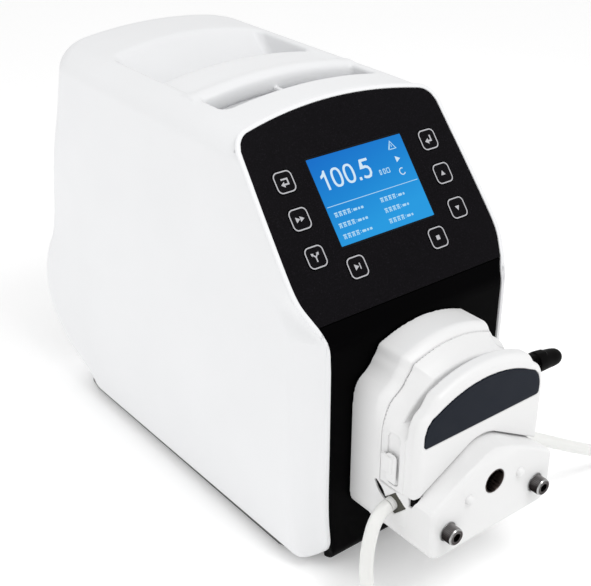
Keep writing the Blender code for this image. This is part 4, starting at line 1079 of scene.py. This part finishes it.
def arch(top, radius, half, n=12):
    a = math.asin(half / radius)
    return [(radius * math.sin(a * (1 - i / n)), top - radius + radius * math.cos(a * (1 - i / n))) for i in range(n + 1)]


def spline_outline(half, straight):
    """Mirrored outline: the first points are kept as a straight-edged run, the rest is a smooth curve to the top middle."""
    pts = list(half[:straight])
    curve = catmull(half[straight - 1:] + [(-half[-2][0], half[-2][1])], 6)
    keep = [tuple(p) for p in curve if p[0] >= -1e-6]
    return mirrored(pts + keep[1:])


back_half = [(0, 44.5), (38.5, 44.5)] + arc2(38.5, 56.5, 12, 270, 360, 6)[1:] + [(50.5, 96), (50.5, 110), (50.45, 117), (49.9, 123.5), (48.4, 128.8), (45.7, 132.4), (42.0, 135.0),
             (38.8, 138.0), (36.6, 141.6), (34.6, 144.3)] + arch(156.0, 78.0, 32.2, 8)
back_out = Outline(spline_outline(back_half, 9), 0.4, 8)
block_half = [(0, 44.5), (40.5, 44.5)] + arc2(40.5, 52.5, 8, 270, 360, 6)[1:] + [(48.5, 76.6), (46.8, 78.8), (43.6, 81.1), (9, 100.2), (4.5, 101.6), (0, 102.0)]
block_out = Outline(mirrored(block_half), 0.4, 8)
clear_out = Outline([(60, 62.5), (43.8, 62.5), (37, 71), (24, 88), (24, 158), (-24, 158), (-24, 88), (-37, 71), (-43.8, 62.5), (-60, 62.5), (-60, 170), (60, 170)], 0.4, 8)
PARTING = [(60, 73.4), (44, 82.4), (9, 101.6), (4.5, 102.9), (0, 103.3)]
part_out = Outline([(60, 20)] + PARTING + [(-x, z) for x, z in reversed(PARTING[:-1])] + [(-60, 20)], 0.4, 8)       # below the jaw's plate
plate_half = [(0, 60), (49.5, 60), (49.5, 90), (49.5, 104), (49.5, 112), (49.35, 118), (48.4, 124.3), (45.9, 129.8), (41.5, 133.3)] + arch(149.0, 80.0, 36.0, 8)
plate_out = Outline(spline_outline(plate_half, 3), 0.4, 8)
neck_half = [(0, 70), (50.1, 70), (50.1, 90), (50.1, 102), (50.1, 110), (49.5, 114.2), (47.6, 117.4), (44.8, 121.0), (41.4, 125.4), (37.6, 129.4)] + arch(142.5, 66.0, 34.0, 8)
neck_out = Outline(spline_outline(neck_half, 3), 0.4, 8)
bed_run = [(60, 75.9), (45.8, 75.9), (41.8, 80.0), (36, 87.2), (28.5, 96.6)] + arc2(0, AXIS, 31, 46, 134, 16)
bed_out = Outline([(60, 40)] + bed_run + [(-28.5, 96.6), (-36, 87.2), (-41.8, 80.0), (-45.8, 75.9), (-60, 75.9), (-60, 40)], 0.4, 8)
seat_half = [(0, 112.2), (43.8, 112.2), (45.3, 114), (45.3, 120), (43.4, 126), (40, 129.6)] + arch(140.8, 74.3, 36.0, 8)
seat_out = Outline(mirrored(seat_half), 0.4, 6)


def head_base(x, y, z):
    ax = np.abs(x)
    up_ = np.clip((z - 110) / 22, 0, 1)
    fall = np.clip((-149.0 - y) / 7.0, 0, 1.2) ** 2 * (0.3 + 3.1 * up_ * up_ * (3 - 2 * up_))
    slab = np.maximum(back_out(x, z) + fall, -156.0 - y)
    slab = np.maximum(slab, y + 131.8)
    blk = rmax(block_out(x, z), -196.5 - y, 2.4)
    roof = 0.924 * (z - 102.3) - 0.383 * (y + 183.8)
    blk = rmax(blk, roof, 6.0)
    blk = np.maximum(blk, y + 148)
    f = rmin(slab, blk, 1.6)
    radial = np.hypot(x, z - AXIS)
    chamber = np.maximum(radial - 28.6, np.maximum(-176.3 - y, y + 156.0))
    f = np.maximum(f, -chamber)
    clear = rmax(clear_out(x, z), np.maximum(-176.0 - y, y + 156.0), 0.5)
    f = rmax(f, -clear, 0.6)
    taper = 1.85 * np.clip((-168.0 - y) / 9.5, 0, 1)
    wall = box_field(ax + taper, y, z, (45.0, -177.6, 57.0), (50.4, -155.0, 90.0), 0.0)
    wall = np.maximum(wall, 0.87 * (z - 81.9) + 0.49 * (ax - 44))
    f = np.minimum(f, wall)
    p, q = 0.69 * (y + 168.8) + 0.72 * (z - 70.2), 0.72 * (y + 168.8) - 0.69 * (z - 70.2)
    f = rmax(f, -np.maximum(np.maximum(np.abs(p), np.abs(q)) - 5.2, 43.0 - ax), 0.25)       # square opening, set on its corner
    s_ = np.clip((-0.716 * (y + 153.2) - 0.698 * (z - 76.9)) / 10.4, 0, 1)
    notch = np.hypot(y + 153.2 + 7.4 * s_, z - 76.9 + 7.3 * s_) - (1.05 + 0.95 * np.sin(3.14 * s_))
    f = np.maximum(f, -np.maximum(notch, 45.5 - ax))
    gap_ = np.maximum(np.maximum(y + 178.0, 72.6 - z - 0.1 * (y + 178)), 0.86 * (-180.0 - y) - 0.51 * (z - 72.7))
    f = np.maximum(f, -np.maximum(np.maximum(gap_, -183.2 - y), 42.5 - ax))
    bore = np.maximum(radial - 7.6, y + 180)
    f = rmax(f, -bore, 0.5)
    f = np.maximum(f, -np.maximum(radial - 11.3, np.maximum(-185.4 - y, y + 170)))
    f = np.maximum(f, -np.maximum(radial - 11.3, np.maximum(-160.0 - y, y + 147.9)))
    f = np.maximum(f, -(radial - 4.6))
    f = np.maximum(f, -np.maximum(radial - 9.2, -147.4 - y))
    f = np.maximum(f, -np.maximum(np.hypot(x, z - 130) - 2.9, np.maximum(-170 - y, y + 139.7)))
    hole = np.hypot(ax - 35.5, z - 61)
    f = np.maximum(f, -(hole - 3.4))
    f = rmax(f, -np.maximum(hole - 5.7, y + 195.3), 0.4)
    plug = np.maximum(np.hypot(ax - 20.5, z - 75.5) - 2.4, y + 190.5)
    return np.maximum(f, -plug)


def head_jaw(x, y, z):
    ax = np.abs(x)
    plate = rmax(plate_out(x, z), -184.0 - y, 4.2)
    plate = rmax(plate, y + 174.0, 1.6)
    w = np.clip((z - 108) / 20, 0, 1)
    w = w * w * (3 - 2 * w)
    t = np.clip((y + 173.8) / 17.7, 0, 1) ** 2
    up_ = np.clip((z - 110) / 22, 0, 1)
    behind = back_out(x, z) + 0.32 + 3.1 * up_ * up_ * (3 - 2 * up_)
    neck = neck_out(x, z) * (1 - t) + np.maximum(behind, 72.0 - z) * t
    neck = np.maximum(neck, y + 156.04)
    neck = np.maximum(neck, -174.2 - y)
    f = rmin(plate, neck, 1.5)
    f = rmax(f, -part_out(x, z), 0.45)
    f = np.maximum(f, -np.maximum(bed_out(x, z), np.abs(y + 162) - 12.2))
    f = np.maximum(f, -np.maximum(np.hypot(x, z - AXIS) - 31.0, -176.6 - y))
    floor_z = 116.2 + 0.1 * np.clip(-x, 0, 60)
    slot = np.maximum(np.abs(y + 170.65) - 3.15, floor_z - z)
    f = rmax(f, -slot, 1.4)
    window = np.maximum(np.maximum(ax - 13, np.abs(z - 126.45) - 9.25), np.abs(y + 160) - 10)
    f = np.maximum(f, -window)
    seat = np.maximum(seat_out(x, z), y + 182.8)
    f = rmax(f, -seat, 0.35)
    a, b = np.abs(y + 165.6) - 4.6, np.abs(z - 97.8) - 16.4
    pocket_ = np.maximum(rmax(a, b, 3.4), 49.0 - ax)
    return rmax(f, -pocket_, 0.3)


HS = 0.72
implicit("head_body", head_base, (-54, -199, 42), (54, -129, 159), HS, 110000,
         material=M["white_head"], body="case", replaces="head_base", slot="white_abs")
implicit("head_front", head_jaw, (-53, -187, 72), (53, -154, 152), HS, 110000,
         material=M["white_head"], body="jaw", replaces="head_jaw", slot="white_abs")

label_half = [(0, 112.5), (43.6, 112.5), (45.0, 114), (45.0, 120), (43.1, 125.8), (39.8, 129.3)] + arch(140.5, 74.0, 35.8, 12)
label_curve = [tuple(p) for p in catmull(label_half[2:] + [(-label_half[-2][0], label_half[-2][1])], 5) if p[0] >= -1e-6]
label = cut_sheet("label_film", [mirrored([(0, 112.5), (43.3, 112.5), (44.4, 112.9)] + label_curve)], 183.1, 184.3, FRONT, 0.4, 3)
weighted(label, 50)
dress(label, M["navy"], "jaw", "label_plate", "navy_label")

# lever
tip = Vector((79.5, 119.2 - 130.0))
LD = tip.normalized()
LN = Vector((-LD.y, LD.x))
grip_r = table([(50, 6.1), (56, 6.3), (60, 6.2), (66, 5.7), (71.5, 5.3), (74.8, 4.6), (77.0, 3.0), (77.9, 0.0)], 6)


def lever_field(x, y, z):
    s = x * LD.x + (z - 130) * LD.y
    t = x * LN.x + (z - 130) * LN.y
    h = np.abs(y + 170.8)
    arm2d = np.maximum(np.abs(t) - (6.2 - 0.2 * np.clip(s / 60, 0, 1)), np.maximum(s - 62, -s))
    arm2d = np.minimum(arm2d, np.hypot(s, t) - 6.2)
    arm_ = rmax(arm2d, h - 2.6, 1.2)
    grip = np.hypot(t, y + 170.8) - grip_r(np.clip(s, 50, 77.9))
    grip = np.maximum(grip, np.maximum(55 - s, s - 77.9))
    f = rmin(arm_, grip, 1.5)
    cam = rmax(np.hypot(x, z - 126.5) - 8.0, np.maximum(-169 - y, y + 159.0), 0.6)
    f = np.minimum(f, cam)
    return np.maximum(f, -(np.hypot(x, z - 130) - 2.6))


implicit("lever_moulding", lever_field, (-10, -179, 108), (83, -157, 142), 0.55, 40000,
         material=M["black_soft"], body="lever", replaces="lever", slot="black_abs")


# mounting screws: knurled heads with hexagon sockets
def knurl(r, d, a):
    if 196.2 < d < 202.4 and r > 5.1:
        return r - 0.26 * abs(math.sin(a * 18)) ** 0.7
    return r


def hexagon(r, a):
    k = (a + math.pi / 6) % (math.pi / 3) - math.pi / 6
    return r / math.cos(k)


def screw_ripple(r, d, a):
    if abs(r - 2.5) < 1e-6:
        return hexagon(2.5, a)
    return knurl(r, d, a)


for s_, tag in ((-1, "left"), (1, "right")):
    prof = [(0, 121), (2.8, 121), (3.1, 121.4), (3.1, 195.7), (4.7, 195.7), (5.1999, 196.2), (5.2, 196.5), (5.2, 198), (5.2, 200), (5.2, 202.1), (5.15, 202.5),
            (4.8, 203.2), (4.3, 203.5), (3.2, 203.5), (2.5, 203.3), (2.5, 199.6), (0, 199.2)]
    mesh = lathe("screw_" + tag, prof, s_ * 35.5, 0, cz=61.0, sides=144, ripple=screw_ripple)
    finish_mesh(mesh, 30)
    add("cap_screw_" + tag, mesh, M["screw"], "case", "head_screw_" + tag)
    prof = [(0, 191.2), (2.1, 191.2), (2.1, 196.4), (2.95, 196.4)] + [(3.0 * math.cos(math.radians(a)), 196.7 + 2.6 * math.sin(math.radians(a))) for a in (0, 12, 24, 36, 48, 60, 72, 82)] + [(0, 199.3)]
    mesh = lathe("plug_" + tag, prof, s_ * 20.5, 0, cz=75.5, sides=32)
    finish_mesh(mesh, 40)
    add("screw_plug_" + tag, mesh, M["white_head"], "case", "block_plug_" + tag)


mesh = lathe("bore_sleeve", [(7.5, 185.2), (7.5, 196.0), (7.3, 196.3), (7.0, 196.3), (6.8, 196.0), (6.8, 185.2)], 0, 0, cz=AXIS, sides=64)
bm = bmesh.new()
bm.from_mesh(mesh)
bm.faces.ensure_lookup_table()
rims = [e for e in bm.edges if len(e.link_faces) == 1]
bmesh.ops.bridge_loops(bm, edges=rims)
bmesh.ops.recalc_face_normals(bm, faces=bm.faces)
bm.to_mesh(mesh)
bm.free()
finish_mesh(mesh, 40)
add("bore_sleeve", mesh, M["dark_metal"], "case", ())


# tube retainers: a stem in the slot and a ridged thumb piece
def retainer_field(s_):
    def f(x, y, z):
        ax = x * s_
        stem = box_field(ax, y, z, (49.5, -168.2, 93.5), (51.2, -163.8, 98.5), 0.3)
        slider = rmax(rmax(np.abs(y + 165.8) - 3.9, np.abs(z - 92.2) - 10.0, 2.6), np.abs(ax - 51.35) - 0.6, 0.4)
        nub = box_field(ax + 0.05 * (101 - z), y, z, (50.8, -167.4, 89.4), (53.4, -158.8, 100.6), 1.0)
        return np.minimum(stem, rmin(slider, nub, 0.4))
    return f


for s_, tag in ((-1, "left"), (1, "right")):
    lo_, hi_ = sorted((s_ * 44.5, s_ * 54.5))
    implicit("retainer_" + tag, retainer_field(s_), (lo_, -172, 84), (hi_, -156, 104), 0.35, 16000,
             material=M["white_head"], body="retainer_" + tag, replaces="tube_retainer_" + tag, slot="white_abs")

# dark clips that hold the tube where it enters the head
def clip_field(s_):
    def f(x, y, z):
        ax = x * s_
        inset = 1.85 * np.clip((-168.0 - y) / 9.5, 0, 1)
        block = box_field(ax + inset, y, z, (44.0, -175.6, 62.4), (49.8, -161.6, 77.6), 0.4)
        d = np.hypot(y + 166.0, z - 68.4) - 4.25
        return rmax(block, -d, 0.4)
    return f


for s_, tag in ((-1, "left"), (1, "right")):
    lo_, hi_ = sorted((s_ * 42.5, s_ * 57.0))
    implicit("clip_" + tag, clip_field(s_), (lo_, -176.0, 60), (hi_, -159.5, 78.5), 0.35, 12000,
             material=M["olive"], body="case", replaces="tube_clip_" + tag, slot="clip_dark")
    # dark blocks set inside the notch and the gap as painted shade
    for k, (low, high) in enumerate((((46.0, -161.6, 67.6), (49.3, -151.8, 77.6)), ((41.5, -183.6, 71.8), (47.0, -177.4, 77.4)))):
        bm = bmesh.new()
        bmesh.ops.create_cube(bm, size=1.0)
        for vert in bm.verts:
            vert.co = Vector([(low[i] + high[i]) / 2 + vert.co[i] * (high[i] - low[i]) for i in range(3)])
            vert.co.x *= s_
        if s_ < 0:
            bmesh.ops.reverse_faces(bm, faces=bm.faces)
        bmesh.ops.scale(bm, vec=(MM, MM, MM), verts=bm.verts)
        mesh = bpy.data.meshes.new("painted_gap_shade")
        bm.to_mesh(mesh)
        bm.free()
        add("seal_%s_%d" % (tag, k), mesh, M["black_soft"], "case", ())        # dark blocks behind the two small gaps: painted shade, so the gaps read dark

# tube through the head, flattened where the rollers press it
TRACK = 29.0
route = [(-52.0, TUBE_Y, 68.0), (-47.5, TUBE_Y, 69.2), (-41.5, TUBE_Y, 73.4), (-35.5, TUBE_Y, 80.5), (-29.0, TUBE_Y, 89.0)]
route += [(TRACK * math.sin(math.radians(a)), TUBE_Y, AXIS + TRACK * math.cos(math.radians(a))) for a in (-50, -34, -17, 0)]
route += [(-x, y, z) for x, y, z in route[-2::-1]]
pts, _ = even(route, 2.2)
T = np.gradient(pts, axis=0)
T /= np.linalg.norm(T, axis=1, keepdims=True)
verts, faces = [], []
SIDES = 28
for p, t in zip(pts, T):
    side = np.array([0, 1.0, 0])
    upv = np.cross(side, t)
    upv /= np.linalg.norm(upv)
    k = min(1.0, max(0.0, (math.hypot(p[0], p[2] - AXIS) - TRACK - 1.0) / 9.0))
    k = k * k * (3 - 2 * k)
    ht, hw = 1.55 + 2.45 * k, 5.4 - 1.4 * k
    for j in range(SIDES):
        w = 2 * math.pi * j / SIDES
        verts.append(tuple(p + side * hw * math.cos(w) + upv * ht * math.sin(w)))
for i in range(len(pts) - 1):
    for j in range(SIDES):
        a, b2 = i * SIDES + j, i * SIDES + (j + 1) % SIDES
        faces.append((a, b2, b2 + SIDES, a + SIDES))
faces.append(tuple(range(SIDES)))
faces.append(tuple(range((len(pts) - 1) * SIDES, len(pts) * SIDES)))
mesh = new_mesh("head_tube", verts, faces)
bm = bmesh.new()
bm.from_mesh(mesh)
bmesh.ops.recalc_face_normals(bm, faces=bm.faces)
bm.to_mesh(mesh)
bm.free()
finish_mesh(mesh, 50)
add("head_tube", mesh, M["tube"], "case", "tube_in_head")

# ----------------------------------------------------------------------------
# remaining CAD pieces: edges broken where they show, a material on each
# ----------------------------------------------------------------------------
REFINE = {
    "base_plate": (0.5, "black_paint", "black_steel"), "rear_panel": (0.35, "zinc", "zinc_sheet"),
    "fan_frame": (0.5, "black_soft", "black_abs"), "fan_rotor": (0.2, "black_soft", "black_abs"), "fan_guard": (0.35, "steel", "steel"),
    "power_inlet": (0.4, "black_soft", "black_abs"), "switch_frame": (0.35, "black_soft", "black_abs"), "power_switch": (0.4, "black_soft", "black_abs"),
    "rotor_hub": (0.4, "nylon", "nylon"), "roller_1": (0.5, "steel", "steel"), "roller_2": (0.5, "steel", "steel"), "roller_3": (0.5, "steel", "steel"),
    "foot_front_left": (0.5, "rubber", "foot_rubber"), "foot_front_right": (0.5, "rubber", "foot_rubber"),
    "foot_rear_left": (0.5, "rubber", "foot_rubber"), "foot_rear_right": (0.5, "rubber", "foot_rubber"),
    "front_bearing": (0.35, "dark_metal", "steel"), "rear_bearing": (0.35, "steel", "steel"), "rotor_shaft": (0.4, "steel", "steel"),
}
for node, (width, mat_key, slot_name) in REFINE.items():
    refine(node, width, M[mat_key], slot_name)

PLAIN = {
    "display_module": "zinc", "keypad_board": "board", "motor_bracket": "zinc", "motor_body": "black_paint", "motor_shaft": "steel", "drive_coupling": "black_paint",
    "power_supply": "zinc", "driver_board": "board", "roller_pin_1": "steel", "roller_pin_2": "steel", "roller_pin_3": "steel", "lever_pin": "steel",
}
for node, mat_key in PLAIN.items():
    mesh = NODES[node].data
    mesh.materials.clear()
    mesh.materials.append(M[mat_key])
left_over = [n for n, o in NODES.items() if not o.hide_render and n not in PLAIN]
print("CAD nodes shown as they are:", left_over)

# ----------------------------------------------------------------------------
# stage and light
# ----------------------------------------------------------------------------
floor_mat, tree, b = principled("floor", (0.93, 0.93, 0.93), 0.7, 0.0, Specular_IOR_Level=0.1)
tree.links.new(ramp(tree, grain(tree, 3, 2.0), [(0.3, (0.925, 0.925, 0.925)), (0.7, (0.935, 0.935, 0.935))]), b.inputs["Base Color"])
b.inputs["Emission Color"].default_value = (1, 1, 1, 1)
b.inputs["Emission Strength"].default_value = 0.2
floor = add("floor", new_mesh("floor", [(-6000, -6000, 0), (6000, -6000, 0), (6000, 6000, 0), (-6000, 6000, 0)], [(0, 1, 2, 3)]), floor_mat)
world = bpy.data.worlds.new("studio")
scene.world = world
world.use_nodes = True
world.node_tree.nodes["Background"].inputs["Color"].default_value = (1, 1, 1, 1)
world.node_tree.nodes["Background"].inputs["Strength"].default_value = 0.78
scene.view_settings.view_transform = "Standard"


def area(name, place, target, size, power):
    data = bpy.data.lights.new(name, "AREA")
    data.energy = power
    data.size = size
    obj = bpy.data.objects.new(name, data)
    obj.location = place
    obj.rotation_euler = (Vector(target) - Vector(place)).to_track_quat("-Z", "Y").to_euler()
    scene.collection.objects.link(obj)


area("key", (0.1, -0.7, 1.15), (0, -0.12, 0.12), 0.5, 5.0)
area("side", (-0.75, 0.22, 0.42), (0, 0.08, 0.12), 0.5, 0.85)
